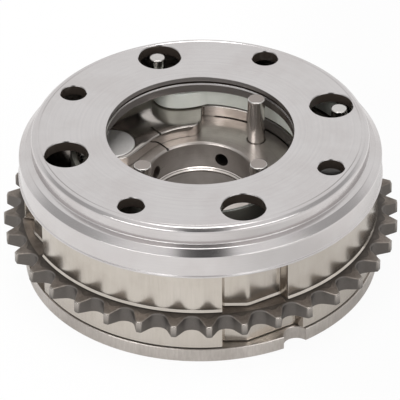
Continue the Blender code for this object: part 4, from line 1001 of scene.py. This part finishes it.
sleeveProfile = softCorners([
    (11.7, 8.2, 0.1), (13.7, 8.2, 0.1), (13.7, 17.2, 0.1), (12.52, 17.2, 0.02), (12.24, 17.04, 0.02),
    (12.2, 16.86, 0.01), (11.78, 16.6, 0.02), (11.7, 16.3, 0.03)])
boreSleeve = makePiece("boreSleeve", turnedMesh("boreSleeve", sleeveProfile, 180))
middles, away, turnOf = faceMiddles(boreSleeve)
# painted shade inside the sleeve's bore and on the narrow band at its top step
layShadeAndSoil(boreSleeve, 0.5 * (middles[:, 2] < 16.3) + 0.35 * (np.abs(middles[:, 2] - 16.94) < 0.1) * (away < 12.25))
smoothPiece(boreSleeve, sleeveSteel)
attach(boreSleeve, "rotor")
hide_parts("bore_sleeve")

for k, turn in enumerate((45.0, 225.0, 315.0)):
    drivePin = makePiece("drivePin" + str(k + 1), turnedMesh(
        "drivePin", pinProfile(2.15, 14.7, 36.5, 0.2), 64, polar(19.6, turn), "poles"))
    smoothPiece(drivePin, pinSteel)
    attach(drivePin, "rotor")
    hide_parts("drive_pin_" + str(k + 1))
print("rotor, sleeve and pins made")


# Lock coil: round wire on a helix between the bore's floor and the lock pin. It shortens as the
# pin goes down.
coil = {"radius": 1.90, "wire": 0.35, "low": 6.2, "top": 21.2, "turns": 6, "travel": 2.5}
coilShare = np.linspace(0.0, 1.0, coil["turns"] * 28 + 1)
coilTurn = 2.0 * np.pi * coil["turns"] * coilShare
coilOut = np.column_stack([np.cos(coilTurn), np.sin(coilTurn), np.zeros_like(coilTurn)])
coilRise = coil["low"] + coil["wire"] + (coil["top"] - coil["low"] - 2.0 * coil["wire"]) * coilShare
coilLine = np.array([lockX, lockY, 0.0]) + coil["radius"] * coilOut + coilRise[:, None] * np.array([0.0, 0.0, 1.0])
wireTurn = np.linspace(0.0, 2.0 * np.pi, 12, endpoint=False)
# each wire section stands across the helix: outwards by w cos b and upwards by w sin b
wireRows = coilLine[:, None, :] + coil["wire"] * (np.cos(wireTurn)[None, :, None] * coilOut[:, None, :]
                                                  + np.sin(wireTurn)[None, :, None] * np.array([0.0, 0.0, 1.0]))
lockCoil = makePiece("lockCoil", gridMesh("lockCoil", wireRows, "caps"))
smoothPiece(lockCoil, wireSteel)
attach(lockCoil, "rotor")
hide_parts("lock_spring")
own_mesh(lockCoil)
print("lock coil made")


# Pieces that keep their solid: the lock pin and the vane seals, all inside.
for nodeName, material in (("lock_pin", pinSteel), ("vane_seal_1", sealPlastic), ("vane_seal_2", sealPlastic),
                           ("vane_seal_3", sealPlastic), ("vane_seal_4", sealPlastic)):
    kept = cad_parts[nodeName]
    kept.data.materials.clear()
    kept.data.materials.append(material)

sizes = {"cad": [[float(v) for v in corner] for corner in cadBox],
         "visual": [[float(v) for v in corner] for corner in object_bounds()]}
